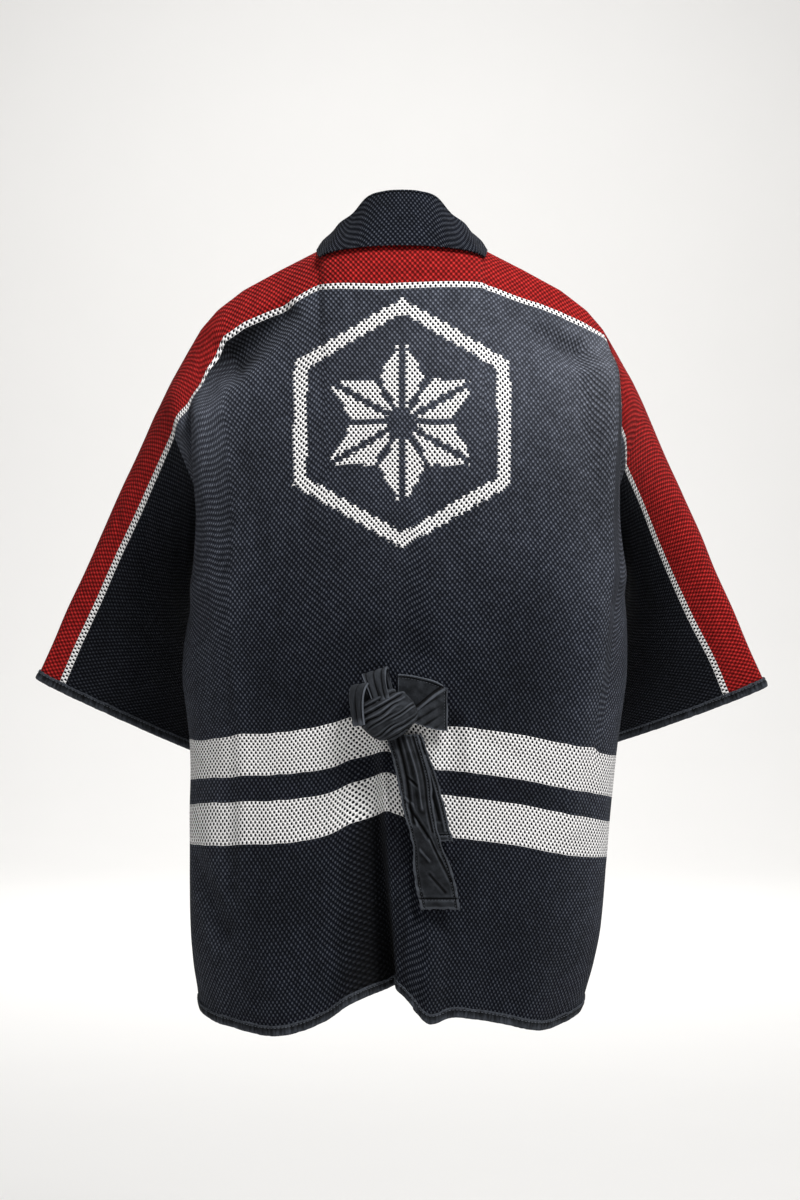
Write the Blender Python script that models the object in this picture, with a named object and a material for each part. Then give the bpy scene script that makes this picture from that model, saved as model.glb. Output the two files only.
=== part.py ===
"""A fireman's jacket of thick woven cotton, hollow, in the pose that it has when worn.

The wearer faces +Y, so the back of the jacket faces -Y, +X is the wearer's right and +Z is up.
The origin is the base of the neck, on the centre line and level with the shoulder line.
Every piece is a wall of cloth: a grid of outer points, and the same grid moved in by its thickness.
Sizes are in metres.
"""

import math
from collections import namedtuple

import bmesh
import bpy
import numpy as np
from mathutils.bvhtree import BVHTree

WALL = 0.002
SEAM_GAP = 0.0003
BINDING_WALL = 0.0012
BINDING_DEPTH = 0.009

PANEL_HALF_WIDTH = 0.352
NECK_HALF_WIDTH = 0.095
NECK_DEPTH = 0.045
NAPE_RISE = 0.013
UNDERARM_HEIGHT = -0.310
RING_POWER = 2.0 / 2.4

UPPER_LEVELS = (0, 0.025, 0.07, 0.13, 0.20, 0.28, 0.37, 0.47, 0.57, 0.68, 0.79, 0.90, 1.0)
LOWER_ROWS = 13
SLEEVE_ROWS = 9

# The body below the arms: how far it reaches to each side of the origin at each height.
BodySection = namedtuple("BodySection", "height left right back front")
BODY = (
    BodySection(-0.310, 0.259, 0.273, 0.113, 0.102),
    BodySection(-0.383, 0.262, 0.277, 0.115, 0.104),
    BodySection(-0.475, 0.257, 0.264, 0.113, 0.103),
    BodySection(-0.574, 0.246, 0.250, 0.109, 0.102),
    BodySection(-0.682, 0.246, 0.239, 0.113, 0.104),
    BodySection(-0.796, 0.244, 0.228, 0.117, 0.106),
    BodySection(-0.890, 0.232, 0.204, 0.118, 0.106),
)

# The shoulder line from the neck to the armhole seam, seen from behind.
ShoulderPoint = namedtuple("ShoulderPoint", "out height")
SHOULDER = (
    ShoulderPoint(0.095, 0.001),
    ShoulderPoint(0.140, -0.022),
    ShoulderPoint(0.184, -0.046),
    ShoulderPoint(0.214, -0.069),
    ShoulderPoint(0.233, -0.091),
    ShoulderPoint(0.247, -0.115),
    ShoulderPoint(0.266, -0.149),
    ShoulderPoint(0.279, -0.176),
)

# The height of the hem across the back, from the wearer's left seam to the right seam.
HemPoint = namedtuple("HemPoint", "across height")
BACK_HEM = (
    HemPoint(-0.352, -0.872),
    HemPoint(-0.250, -0.888),
    HemPoint(-0.150, -0.889),
    HemPoint(-0.100, -0.872),
    HemPoint(-0.060, -0.853),
    HemPoint(-0.020, -0.846),
    HemPoint(0.005, -0.854),
    HemPoint(0.035, -0.874),
    HemPoint(0.080, -0.871),
    HemPoint(0.150, -0.878),
    HemPoint(0.230, -0.889),
    HemPoint(0.300, -0.880),
    HemPoint(0.352, -0.872),
)
FRONT_HEM_HEIGHT = -0.876
FRONT_EDGE_TURNS = (1.70, 1.77)

# Folds as soft lines drawn on a panel: a depth above 0 goes in, below 0 stands out.
Fold = namedtuple("Fold", "top_across top low_across low top_width low_width top_depth low_depth lean")
BACK_FOLDS = (
    Fold(-0.050, -0.56, -0.038, -1.00, 0.026, 0.050, 0.006, 0.072, 0.50),
    Fold(0.034, -0.66, 0.040, -1.00, 0.030, 0.050, -0.004, -0.016, 0.0),
    Fold(-0.170, -0.74, -0.180, -1.00, 0.060, 0.080, -0.002, -0.014, 0.0),
    Fold(0.190, -0.76, 0.215, -1.00, 0.050, 0.070, -0.002, -0.012, 0.0),
    Fold(0.064, -0.55, 0.070, -0.66, 0.024, 0.030, 0.007, 0.003, 0.0),
    Fold(0.000, -0.34, 0.008, -0.46, 0.030, 0.034, 0.003, 0.006, 0.0),
    Fold(-0.140, -0.080, -0.215, -0.135, 0.024, 0.034, 0.008, 0.022, 0.0),
    Fold(-0.130, -0.115, -0.215, -0.185, 0.026, 0.036, -0.003, -0.010, 0.0),
    Fold(-0.252, -0.200, -0.285, -0.380, 0.046, 0.052, -0.030, -0.012, -0.30),
    Fold(0.165, -0.105, 0.215, -0.125, 0.022, 0.026, 0.008, 0.014, 0.0),
    Fold(0.252, -0.150, 0.284, -0.370, 0.046, 0.048, -0.030, -0.012, 0.20),
    Fold(-0.300, -0.70, -0.250, -0.78, 0.030, 0.030, 0.005, 0.007, 0.0),
)
FRONT_FOLDS = (
    Fold(0.180, -0.46, 0.200, -1.00, 0.040, 0.060, 0.003, 0.016, 0.0),
)

# The sleeves: the two ends of the armhole and of the cuff, and the middle of the lower line.
Sleeve = namedtuple("Sleeve", "side shoulder underarm cuff_top cuff_low elbow_low")
SLEEVES = {
    "left": Sleeve(
        -1, (-0.279, 0.0, -0.176), (-0.226, 0.030, -0.312), (-0.428, 0.030, -0.497),
        (-0.235, 0.132, -0.592), (-0.250, 0.116, -0.452),
    ),
    "right": Sleeve(
        1, (0.279, 0.0, -0.176), (0.242, 0.031, -0.312), (0.427, 0.030, -0.506),
        (0.240, 0.132, -0.580), (0.267, 0.116, -0.447),
    ),
}
ARMHOLE_DEPTHS = {"back": (0.072, -0.04), "front": (0.080, 0.15)}
ARMHOLE_REACH = {"back": 0.66, "front": 0.50}
CUFF_OPENING = 0.024

# The collar round the neck, on the wearer's right: where it folds over, measured from its seam.
# A place is -1 at the nape and 0 on the shoulder, and then goes on as a level down the front.
CollarSection = namedtuple("CollarSection", "place out forward rise")
COLLAR_FOLD = (
    CollarSection(-1.00, 0.000, -0.008, 0.047),
    CollarSection(-0.75, -0.004, -0.009, 0.046),
    CollarSection(-0.50, -0.008, -0.009, 0.041),
    CollarSection(-0.30, -0.011, -0.006, 0.026),
    CollarSection(-0.12, -0.013, -0.002, 0.018),
    CollarSection(0.00, -0.018, 0.006, 0.014),
    CollarSection(0.13, -0.034, 0.012, 0.012),
)
COLLAR_FRONT_FROM = 0.28
COLLAR_BAND_WIDTH = 0.048
COLLAR_LAP = 0.014
COLLAR_CLEARANCE = 0.0045
COLLAR_CROWN = 0.0036
# Where the collar's free edge lies on the back: how far out, how far down, and its lift off it.
NAPE_LAP_SPREAD = 1.05
NAPE_LAP_LEVEL = 0.055
NAPE_LAP_LIFT = np.array((0, -0.6, 0.8)) * COLLAR_CLEARANCE

# The waist tie, seen from behind. Its pieces start at BEHIND and move in until they rest.
BEHIND = 0.5
Strip = namedtuple("Strip", "height left right")
LONG_TAIL = (
    Strip(-0.556, -0.018, 0.018),
    Strip(-0.601, -0.006, 0.031),
    Strip(-0.642, 0.002, 0.036),
    Strip(-0.676, 0.011, 0.044),
    Strip(-0.708, 0.013, 0.056),
    Strip(-0.750, 0.021, 0.065),
)
SHORT_TAIL = (
    Strip(-0.556, -0.012, 0.022),
    Strip(-0.612, 0.006, 0.041),
    Strip(-0.655, 0.017, 0.052),
    Strip(-0.675, 0.022, 0.057),
)
TIE_WALL = 0.0024
TAIL_ROWS = 12
TAIL_CROWN = (0.0, 0.0016, 0.0020, 0.0014, 0.0)

# The sewn end of the tie, from its seam on the right to where it enters the knot.
BandSection = namedtuple("BandSection", "across top low lift bulge")
TIE_BAND = (
    BandSection(0.0490, -0.505, -0.550, 0.0004, 0.0),
    BandSection(0.0397, -0.492, -0.546, 0.0052, 0.0047),
    BandSection(0.0258, -0.494, -0.535, 0.0120, 0.0049),
    BandSection(0.0165, -0.510, -0.530, 0.0150, 0.0),
)

# The knot: a wrapped middle, and two folded loops above it on its left.
KNOT_CENTRE = (-0.015, -0.150, -0.527)
KNOT_SIZE = (0.033, 0.017, 0.040)
KNOT_TILT = math.radians(32)
KNOT_SHEAR = (0.35, 0.55)
KNOT_TWIST = 0.10
LOOP_DEPTH = 0.010
Loop = namedtuple("Loop", "across height half_width half_height")
KNOT_LOOPS = (
    Loop(-0.040, -0.507, 0.012, 0.016),
    Loop(-0.022, -0.496, 0.013, 0.017),
)

NAVY = (0.021, 0.024, 0.033, 1)
BAND_GREY = (0.036, 0.040, 0.049, 1)


def smooth(value):
    value = min(max(value, 0.0), 1.0)
    return value * value * (3 - 2 * value)


def unit(vectors):
    return vectors / np.maximum(np.linalg.norm(vectors, axis=-1, keepdims=True), 1e-12)


def read(table, column, at, by):
    """The value of a table's column, on a smooth curve through its rows."""
    keys = np.array([getattr(row, by) for row in table])
    values = np.array([getattr(row, column) for row in table])
    if keys[0] > keys[-1]:
        keys, values = keys[::-1], values[::-1]
    at = min(max(at, keys[0]), keys[-1])
    slopes = np.gradient(values, keys)
    row = min(max(int(np.searchsorted(keys, at)) - 1, 0), len(keys) - 2)
    span = keys[row + 1] - keys[row]
    part = (at - keys[row]) / span
    start = (1 + 2 * part) * (1 - part) ** 2 * values[row] + part * (1 - part) ** 2 * span * slopes[row]
    end = part ** 2 * (3 - 2 * part) * values[row + 1] + part ** 2 * (part - 1) * span * slopes[row + 1]
    return float(start + end)


def quarter_ring():
    """A quarter of the body's ring, from the centre back to the side, by its length."""
    angles = np.linspace(0, math.pi / 2, 800)
    across, deep = np.sin(angles) ** RING_POWER, np.cos(angles) ** RING_POWER
    steps = np.hypot(np.diff(across) * BODY[0].left, np.diff(deep) * BODY[0].back)
    length = np.concatenate([[0], np.cumsum(steps)])
    return length / length[-1], across, deep


QUARTER_LENGTH, QUARTER_ACROSS, QUARTER_DEEP = quarter_ring()


def ring_point(height, turn):
    """A point round the body: turn is 0 at the centre back, 1 at the right side, 2 in front."""
    side = abs(turn)
    quarter = side if side <= 1 else 2 - side
    across = np.interp(quarter, QUARTER_LENGTH, QUARTER_ACROSS)
    deep = np.interp(quarter, QUARTER_LENGTH, QUARTER_DEEP)
    reach = read(BODY, "right" if turn > 0 else "left", height, "height")
    depth = -read(BODY, "back", height, "height") if side <= 1 else read(BODY, "front", height, "height")
    return np.array((math.copysign(across * reach, turn), deep * depth, height))


def ring_directions(height, turn):
    """The way out of the body and the way round it, both level."""
    step = 0.03
    round_it = unit(ring_point(height, turn + step) - ring_point(height, turn - step))
    return np.array((round_it[1], -round_it[0], 0.0)), round_it


def shoulder_lengths():
    """How far along the shoulder each of its points is from the centre line."""
    steps = [math.dist(a, b) for a, b in zip(SHOULDER, SHOULDER[1:])]
    lengths = NECK_HALF_WIDTH + np.concatenate([[0], np.cumsum(steps)])
    stretch = (PANEL_HALF_WIDTH - NECK_HALF_WIDTH) / (lengths[-1] - NECK_HALF_WIDTH)
    return NECK_HALF_WIDTH + (lengths - NECK_HALF_WIDTH) * stretch


SHOULDER_LENGTHS = shoulder_lengths()


def top_point(across):
    """The top of a panel: the neck edge of the back, then the shoulder line."""
    out = abs(across)
    if out < NECK_HALF_WIDTH:
        round_neck = math.sqrt(1 - (out / NECK_HALF_WIDTH) ** 2)
        return np.array((across, -NECK_DEPTH * round_neck, SHOULDER[0].height + NAPE_RISE * round_neck))
    x = np.interp(out, SHOULDER_LENGTHS, [point.out for point in SHOULDER])
    z = np.interp(out, SHOULDER_LENGTHS, [point.height for point in SHOULDER])
    return np.array((math.copysign(x, across), 0.0, z))


def armhole_point(sleeve, level, facing):
    """The armhole seam: level is 0 on the shoulder and 1 under the arm."""
    start, end = np.array(sleeve.shoulder), np.array(sleeve.underarm)
    angle = math.pi * level
    depth, lean = ARMHOLE_DEPTHS[facing]
    way = unit(np.array((lean * sleeve.side, -1.0 if facing == "back" else 1.0, 0.0)))
    return start + (end - start) * (1 - math.cos(angle)) / 2 + way * depth * math.sin(angle)


def fold_shift(folds, across, height):
    """How far the folds move a point out of the body, and how far round it."""
    out, round_it = 0.0, 0.0
    for fold in folds:
        run = np.array((fold.low_across - fold.top_across, fold.low - fold.top))
        place = np.array((across - fold.top_across, height - fold.top))
        part = min(max(float(place @ run / (run @ run)), 0.0), 1.0)
        width = fold.top_width + (fold.low_width - fold.top_width) * part
        away = float(np.linalg.norm(place - run * part)) / width
        if away < 1:
            depth = fold.top_depth + (fold.low_depth - fold.top_depth) * part
            swell = depth * (1 + math.cos(math.pi * away)) / 2
            out -= swell
            round_it += swell * fold.lean
    return out, round_it


def front_turn(across, height):
    """How far round the body a point of a front lies."""
    edge_turn = np.interp(height, (-0.89, UNDERARM_HEIGHT), FRONT_EDGE_TURNS)
    part = (PANEL_HALF_WIDTH - abs(across)) / (PANEL_HALF_WIDTH - NECK_HALF_WIDTH)
    return math.copysign(1 + part * (edge_turn - 1), across)


def body_point(across, level, facing):
    """A point of the back or of a front: level is 1 at the underarm and 2 at the hem."""
    side = "right" if across > 0 else "left"
    sleeve = SLEEVES[side]
    top = top_point(across)
    if facing == "back":
        turn = across / PANEL_HALF_WIDTH
        hem, folds = read(BACK_HEM, "height", across, "across"), BACK_FOLDS
    else:
        turn = front_turn(across, UNDERARM_HEIGHT)
        near_side = (PANEL_HALF_WIDTH - 0.06, PANEL_HALF_WIDTH)
        hem = np.interp(abs(across), near_side, (FRONT_HEM_HEIGHT, BACK_HEM[0].height))
        folds = FRONT_FOLDS
    if level <= 1:
        low = ring_point(UNDERARM_HEIGHT, turn)
        power = 0.55 + 0.20 * smooth((abs(across) - NECK_HALF_WIDTH) / 0.06)
        over = math.sin(math.pi / 2 * level) ** power
        aside = level if facing == "back" else 1 - (1 - level) ** 1.5
        point = top + (low - top) * np.array((aside, over, level))
        edge = armhole_point(sleeve, level, facing)
        own = top_point(math.copysign(PANEL_HALF_WIDTH, across))
        last = ring_point(UNDERARM_HEIGHT, math.copysign(1, across))
        own = own + (last - own) * np.array((aside, over, level))
        pull = edge - own
    else:
        height = UNDERARM_HEIGHT + (hem - UNDERARM_HEIGHT) * (level - 1)
        if facing == "front":
            turn = front_turn(across, height)
        point = ring_point(height, turn)
        pull = np.array(sleeve.underarm) - ring_point(UNDERARM_HEIGHT, math.copysign(1, across))
        pull = pull * (1 - smooth((UNDERARM_HEIGHT - height) / 0.20))
    reach = (abs(across) / PANEL_HALF_WIDTH - ARMHOLE_REACH[facing]) / (1 - ARMHOLE_REACH[facing])
    point = point + pull * smooth(reach)
    out_way, round_way = ring_directions(min(point[2], UNDERARM_HEIGHT), turn)
    seam_fade = smooth((PANEL_HALF_WIDTH - abs(across)) / 0.03) * smooth(level / 0.13)
    mirrored = across if facing == "back" else abs(across)
    out, round_it = fold_shift(folds, mirrored, point[2])
    return point + (out_way * out + round_way * round_it) * seam_fade


def sleeve_point(sleeve, part, level, facing):
    """A point of a sleeve: part is 0 at the armhole and 1 at the cuff."""
    start = armhole_point(sleeve, level, facing)
    angle = math.pi * level
    top, low = np.array(sleeve.cuff_top), np.array(sleeve.cuff_low)
    axis = unit(top - np.array(sleeve.shoulder))
    face = unit(np.cross(axis, unit(low - top))) * sleeve.side
    turned = face if facing == "front" else -face
    end = top + (low - top) * (1 - math.cos(angle)) / 2 + turned * CUFF_OPENING * math.sin(angle)
    underarm, elbow = np.array(sleeve.underarm), np.array(sleeve.elbow_low)
    bend = elbow - (underarm + low) / 2
    sag = bend * 4 * part * (1 - part) * (1 - math.cos(angle)) / 2
    return start + (end - start) * part + sag


def grid_normals(points, closed):
    """The unit normal at each point of a grid."""
    if closed:
        points = np.concatenate([points[:, -1:], points, points[:, :1]], axis=1)
    normals = unit(np.cross(np.gradient(points, axis=0), np.gradient(points, axis=1)))
    return normals[:, 1:-1] if closed else normals


class Cloth:
    """A piece of cloth: a grid of outer points, with the way out at each of them."""

    def __init__(self, name, points, closed=False, flip=False, wall=WALL, colour=NAVY):
        self.name, self.points, self.closed = name, np.array(points, float), closed
        self.wall, self.colour, self.flip = wall, colour, flip
        self.normals = grid_normals(self.points, closed) * (-1 if flip else 1)

    def trimmed(self):
        """The outer grid with each edge drawn back by half of a seam's gap."""
        points = self.points.copy()
        step = SEAM_GAP / 2
        points[0] += unit(self.points[1] - self.points[0]) * step
        points[-1] += unit(self.points[-2] - self.points[-1]) * step
        if not self.closed:
            points[:, 0] += unit(self.points[:, 1] - self.points[:, 0]) * step
            points[:, -1] += unit(self.points[:, -2] - self.points[:, -1]) * step
        return points

    def build(self):
        outer = self.trimmed()
        return wall_object(self.name, outer, outer - self.normals * self.wall, self)


def share_normals(pieces):
    """Where pieces meet at a seam, the walls of a smooth join get the same direction."""
    meeting = {}
    for piece in pieces:
        rows, columns = piece.points.shape[:2]
        for row in range(rows):
            for column in range(columns):
                key = tuple(np.round(piece.points[row, column], 5))
                meeting.setdefault(key, []).append((piece, row, column))
    for group in meeting.values():
        if len(group) > 1:
            own = [piece.normals[row, column].copy() for piece, row, column in group]
            for i, (piece, row, column) in enumerate(group):
                alike = [smooth(float(own[i] @ other) / 0.4 + 0.75) for other in own]
                alike[i] = 1.0
                piece.normals[row, column] = unit(sum(a * other for a, other in zip(alike, own)))


def material(name, colour):
    found = bpy.data.materials.get(name)
    if found is None:
        found = bpy.data.materials.new(name)
        found.use_nodes = True
        shader = found.node_tree.nodes["Principled BSDF"]
        shader.inputs["Base Color"].default_value = colour
        shader.inputs["Roughness"].default_value = 0.9
        shader.inputs["Metallic"].default_value = 0.0
    return found


def wall_object(name, outer, inner, piece):
    """A closed wall of cloth between two grids of the same size."""
    rows, columns = outer.shape[:2]
    mesh = bmesh.new()
    sheets = [[[mesh.verts.new(p) for p in row] for row in grid] for grid in (outer, inner)]

    def patch(a, b, c, d):
        if (a.co - c.co).length <= (b.co - d.co).length:
            mesh.faces.new((a, b, c))
            mesh.faces.new((a, c, d))
        else:
            mesh.faces.new((a, b, d))
            mesh.faces.new((b, c, d))

    last = columns if piece.closed else columns - 1
    for row in range(rows - 1):
        for column in range(last):
            following = (column + 1) % columns
            corners = ((row, column), (row + 1, column), (row + 1, following), (row, following))
            for sheet in sheets:
                patch(*[sheet[r][c] for r, c in corners])
    edges = []
    for column in range(last):
        following = (column + 1) % columns
        edges += [((0, column), (0, following)), ((rows - 1, column), (rows - 1, following))]
    if not piece.closed:
        for row in range(rows - 1):
            edges += [((row, 0), (row + 1, 0)), ((row, columns - 1), (row + 1, columns - 1))]
    for (r1, c1), (r2, c2) in edges:
        patch(sheets[0][r1][c1], sheets[0][r2][c2], sheets[1][r2][c2], sheets[1][r1][c1])
    bmesh.ops.recalc_face_normals(mesh, faces=mesh.faces[:])
    data = bpy.data.meshes.new(name)
    mesh.to_mesh(data)
    mesh.free()
    data.shade_smooth()
    data.set_sharp_from_angle(angle=math.radians(50))
    data.materials.append(material("cloth_" + name.split("_")[0], piece.colour))
    made = bpy.data.objects.new(name, data)
    COLLECTION.objects.link(made)
    return made


def panel_columns():
    """How far across the back its columns lie, closer together at the deep centre fold."""
    wide = np.linspace(NECK_HALF_WIDTH, PANEL_HALF_WIDTH, 15)
    fold = np.linspace(-0.047, 0.020, 10)
    return np.concatenate([-wide[::-1], (-0.082, -0.060), fold, (0.045, 0.072), wide])


def row_levels():
    """The rows of the body, with one where the hem's binding ends."""
    lower = [1 + (row + 1) / LOWER_ROWS for row in range(LOWER_ROWS)]
    binding_top = 2 - BINDING_DEPTH / (UNDERARM_HEIGHT - FRONT_HEM_HEIGHT)
    return list(UPPER_LEVELS) + lower[:-1] + [binding_top, 2.0]


COLUMNS = panel_columns()
LEVELS = row_levels()


def body_pieces():
    back = [[body_point(a, level, "back") for a in COLUMNS] for level in LEVELS]
    pieces = [Cloth("back", back)]
    for side, sign in (("left", -1), ("right", 1)):
        columns = [a for a in COLUMNS if a * sign >= NECK_HALF_WIDTH]
        front = [[body_point(a, level, "front") for a in columns] for level in LEVELS]
        pieces.append(Cloth("front_" + side, front, flip=True))
    return pieces


def sleeve_piece(side):
    sleeve = SLEEVES[side]
    ring = [(level, "back") for level in UPPER_LEVELS]
    ring += [(level, "front") for level in UPPER_LEVELS[-2:0:-1]]
    length = math.dist(sleeve.shoulder, sleeve.cuff_top)
    parts = list(np.linspace(0, 1, SLEEVE_ROWS + 1)[:-1]) + [1 - BINDING_DEPTH / length, 1.0]
    grid = [[sleeve_point(sleeve, part, level, facing) for level, facing in ring] for part in parts]
    return Cloth("sleeve_" + side, grid, closed=True, flip=side == "right")


def collar_section(seam, normal, inward, place, side, edge):
    """One section of the collar: up from its seam, over its fold and down to its free edge."""
    shift = [read(COLLAR_FOLD, column, place, "place") for column in ("out", "forward", "rise")]
    near = seam + np.array((shift[0] * side, shift[1], shift[2]))
    far = seam + inward * COLLAR_BAND_WIDTH + normal * COLLAR_CROWN
    part = smooth(place / COLLAR_FRONT_FROM)
    fold = near + (far - near) * part
    inside = seam - normal * WALL * part + np.array((0, WALL, 2 * SEAM_GAP)) * (1 - part)
    up = unit(fold - inside)
    across = edge - inside
    aside = unit(across - up * float(across @ up)) * COLLAR_CROWN
    turn_in, turn_out = fold - aside - up * COLLAR_CROWN, fold + aside - up * COLLAR_CROWN
    return [
        inside, (inside + turn_in) / 2, turn_in, fold - aside * 0.7 - up * COLLAR_CROWN * 0.3, fold,
        fold + aside * 0.7 - up * COLLAR_CROWN * 0.3, turn_out, (turn_out + edge) / 2 + aside * 0.4, edge,
    ]


def collar_piece(back, front_left, front_right):
    """One band from the right front hem round the neck to the left front hem."""
    grid = []
    for front, side, order in ((front_right, 1, -1), (back, 0, 1), (front_left, -1, 1)):
        if front is back:
            for column in reversed(range(len(COLUMNS))):
                across = COLUMNS[column]
                if abs(across) < NECK_HALF_WIDTH - 0.001:
                    lap = body_point(across * NAPE_LAP_SPREAD, NAPE_LAP_LEVEL, "back") + NAPE_LAP_LIFT
                    seam, normal = back.points[0, column], back.normals[0, column]
                    place = abs(across) / NECK_HALF_WIDTH - 1
                    sign = math.copysign(1, across)
                    grid.append(collar_section(seam, normal, normal, place, sign, lap))
            continue
        edge_column, next_column = (0, 1) if side > 0 else (-1, -2)
        rows = []
        for row, level in enumerate(LEVELS):
            seam, normal = front.points[row, edge_column], front.normals[row, edge_column]
            inward = unit(seam - front.points[row, next_column])
            lap = body_point(side * (NECK_HALF_WIDTH + COLLAR_LAP), level, "front")
            lap = lap + normal * COLLAR_CLEARANCE
            rows.append(collar_section(seam, normal, inward, level, side, lap))
        grid += rows[::order]
    return Cloth("collar", grid, flip=True)


def binding_piece(name, cloth):
    """A folded strip over the last two rows of a piece, a seam's gap clear of it."""
    outer, normals = cloth.trimmed()[-2:], cloth.normals[-2:]
    inner = outer - normals * cloth.wall
    down = unit(outer[1] - outer[0])
    paths = []
    for gap in (SEAM_GAP + BINDING_WALL, SEAM_GAP):
        front, rear = outer + normals * gap, inner - normals * gap
        paths.append(np.array((front[0], front[1] + down * gap, rear[1] + down * gap, rear[0])))
    strip = Cloth(name, paths[0], closed=cloth.closed, wall=BINDING_WALL, colour=BAND_GREY)
    return wall_object(name, paths[0], paths[1], strip)


def surface_of(objects):
    """The outside of some objects, to rest others on."""
    bpy.context.view_layer.update()
    depsgraph = bpy.context.evaluated_depsgraph_get()
    return [BVHTree.FromObject(item, depsgraph) for item in objects]


def first_hit(surfaces, start, way):
    """How far it is from a place to the nearest of the surfaces, straight along one way."""
    hits = [surface.ray_cast(start, way)[3] for surface in surfaces]
    return min([hit for hit in hits if hit is not None], default=math.inf)


def surface_depth(surfaces, x, height):
    """How far back the outside reaches at a place seen from behind."""
    return first_hit(surfaces, (x, -BEHIND, height), (0, 1, 0)) - BEHIND


def room_in_front(points, surfaces):
    """How far some points can move along +Y before the first of them meets a surface."""
    return min(first_hit(surfaces, point, (0, 1, 0)) for point in points)


def tail_piece(name, strips, surfaces):
    """A loose end of the tie, hanging on what lies under it."""
    heights = np.linspace(strips[0].height, strips[-1].height, TAIL_ROWS)
    grid, reach = [], 0.0
    for height in heights:
        left, right = read(strips, "left", height, "height"), read(strips, "right", height, "height")
        xs = np.linspace(left, right, len(TAIL_CROWN))
        reach = min([reach] + [surface_depth(surfaces, x, height) for x in xs])
        grid.append([(x, reach - BINDING_DEPTH - rise, height) for x, rise in zip(xs, TAIL_CROWN)])
    tail = Cloth(name, grid, wall=TIE_WALL, colour=BAND_GREY)
    inner = tail.points - tail.normals * TIE_WALL
    between = (inner[1:, 1:] + inner[:-1, :-1]) / 2
    places = np.concatenate([inner.reshape(-1, 3), between.reshape(-1, 3)])
    tail.points[..., 1] += room_in_front(places, surfaces) - SEAM_GAP
    return tail


def tie_band_piece(surfaces, knot, knot_depth):
    """The sewn end of the tie: flat at its seam on the right, gathered where it enters the knot."""
    entry = TIE_BAND[-1]
    heights = np.linspace(entry.top, entry.low, 9)
    places = [(TIE_BAND[0].across, knot_depth, height) for height in heights]
    knot_side = TIE_BAND[0].across - min(first_hit(knot, place, (-1, 0, 0)) for place in places)
    grid = []
    for part in np.linspace(0, 1, 8):
        across = TIE_BAND[0].across + (entry.across - TIE_BAND[0].across) * part
        top, low, lift, bulge = (
            read(TIE_BAND, column, across, "across") for column in ("top", "low", "lift", "bulge")
        )
        x = TIE_BAND[0].across + (knot_side + 2 * SEAM_GAP - TIE_BAND[0].across) * part
        row = []
        for share in np.linspace(0, 1, 5):
            height = top + (low - top) * share
            out = lift + bulge * math.sin(math.pi * share) + TIE_WALL
            row.append((x, surface_depth(surfaces, x, height) - out, height))
        grid.append(row)
    return Cloth("tie_band", grid, flip=True, wall=TIE_WALL, colour=BAND_GREY)


def sphere(name, segments, rings, collection):
    """A sphere of radius 1, whose points are then placed one by one."""
    bpy.ops.mesh.primitive_uv_sphere_add(segments=segments, ring_count=rings, radius=1, location=(0, 0, 0))
    made = bpy.context.object
    made.name = name
    for old in list(made.users_collection):
        old.objects.unlink(made)
    collection.objects.link(made)
    return made


def knot_object(surfaces):
    """The knot: a fat wrapped middle with two folded loops above it, on its left."""
    middle = sphere("tie_knot", 24, 14, COLLECTION)
    for vertex in middle.data.vertices:
        x, y, z = vertex.co
        swell = 1 + KNOT_TWIST * math.sin(4.5 * (z + 0.5 * x))
        across, up = x * KNOT_SIZE[0] * swell, z * KNOT_SIZE[2]
        turned_x = across * math.cos(KNOT_TILT) + up * math.sin(KNOT_TILT) * KNOT_SHEAR[0]
        turned_z = up - across * math.sin(KNOT_TILT) * KNOT_SHEAR[1]
        vertex.co = np.array((turned_x, y * KNOT_SIZE[1] * swell, turned_z)) + KNOT_CENTRE
    for number, row in enumerate(KNOT_LOOPS):
        loop = sphere(f"knot_loop_{number}", 16, 8, CUTTERS)
        for vertex in loop.data.vertices:
            x, y, z = vertex.co
            vertex.co = (
                row.across + x * row.half_width + z * row.half_height / 4,
                KNOT_CENTRE[1] + y * LOOP_DEPTH,
                row.height + z * row.half_height,
            )
        loop.hide_render = True
        loop.display_type = "WIRE"
        join = middle.modifiers.new(f"loop_{number}", "BOOLEAN")
        join.operation, join.object, join.solver = "UNION", loop, "EXACT"
    middle.data.shade_smooth()
    middle.data.materials.append(material("cloth_tie", BAND_GREY))
    room = room_in_front([vertex.co.copy() for vertex in middle.data.vertices], surfaces) - SEAM_GAP
    for item in [middle] + [join.object for join in middle.modifiers]:
        for vertex in item.data.vertices:
            vertex.co.y += room
    return middle, KNOT_CENTRE[1] + room


for old_object in list(bpy.data.objects):
    bpy.data.objects.remove(old_object)
COLLECTION = bpy.data.collections.new("fireman_jacket")
CUTTERS = bpy.data.collections.new("joined_shapes")
for collection in (COLLECTION, CUTTERS):
    bpy.context.scene.collection.children.link(collection)

body = body_pieces()
made = {}
sleeves = [sleeve_piece("left"), sleeve_piece("right")]
share_normals(body + sleeves)
for cloth_piece in body + sleeves:
    made[cloth_piece.name] = cloth_piece.build()
for cloth_piece in body:
    binding_piece("hem_binding_" + cloth_piece.name, cloth_piece)
for cloth_piece in sleeves:
    binding_piece(cloth_piece.name.replace("sleeve", "cuff_binding"), cloth_piece)
collar_piece(*body).build()
back_surface = surface_of([made["back"]])
short_tail = tail_piece("tie_tail_short", SHORT_TAIL, back_surface).build()
long_tail = tail_piece("tie_tail_long", LONG_TAIL, back_surface + surface_of([short_tail])).build()
tie_knot, knot_depth = knot_object(back_surface + surface_of([short_tail, long_tail]))
tie_band_piece(back_surface, surface_of([tie_knot]), knot_depth).build()
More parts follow.
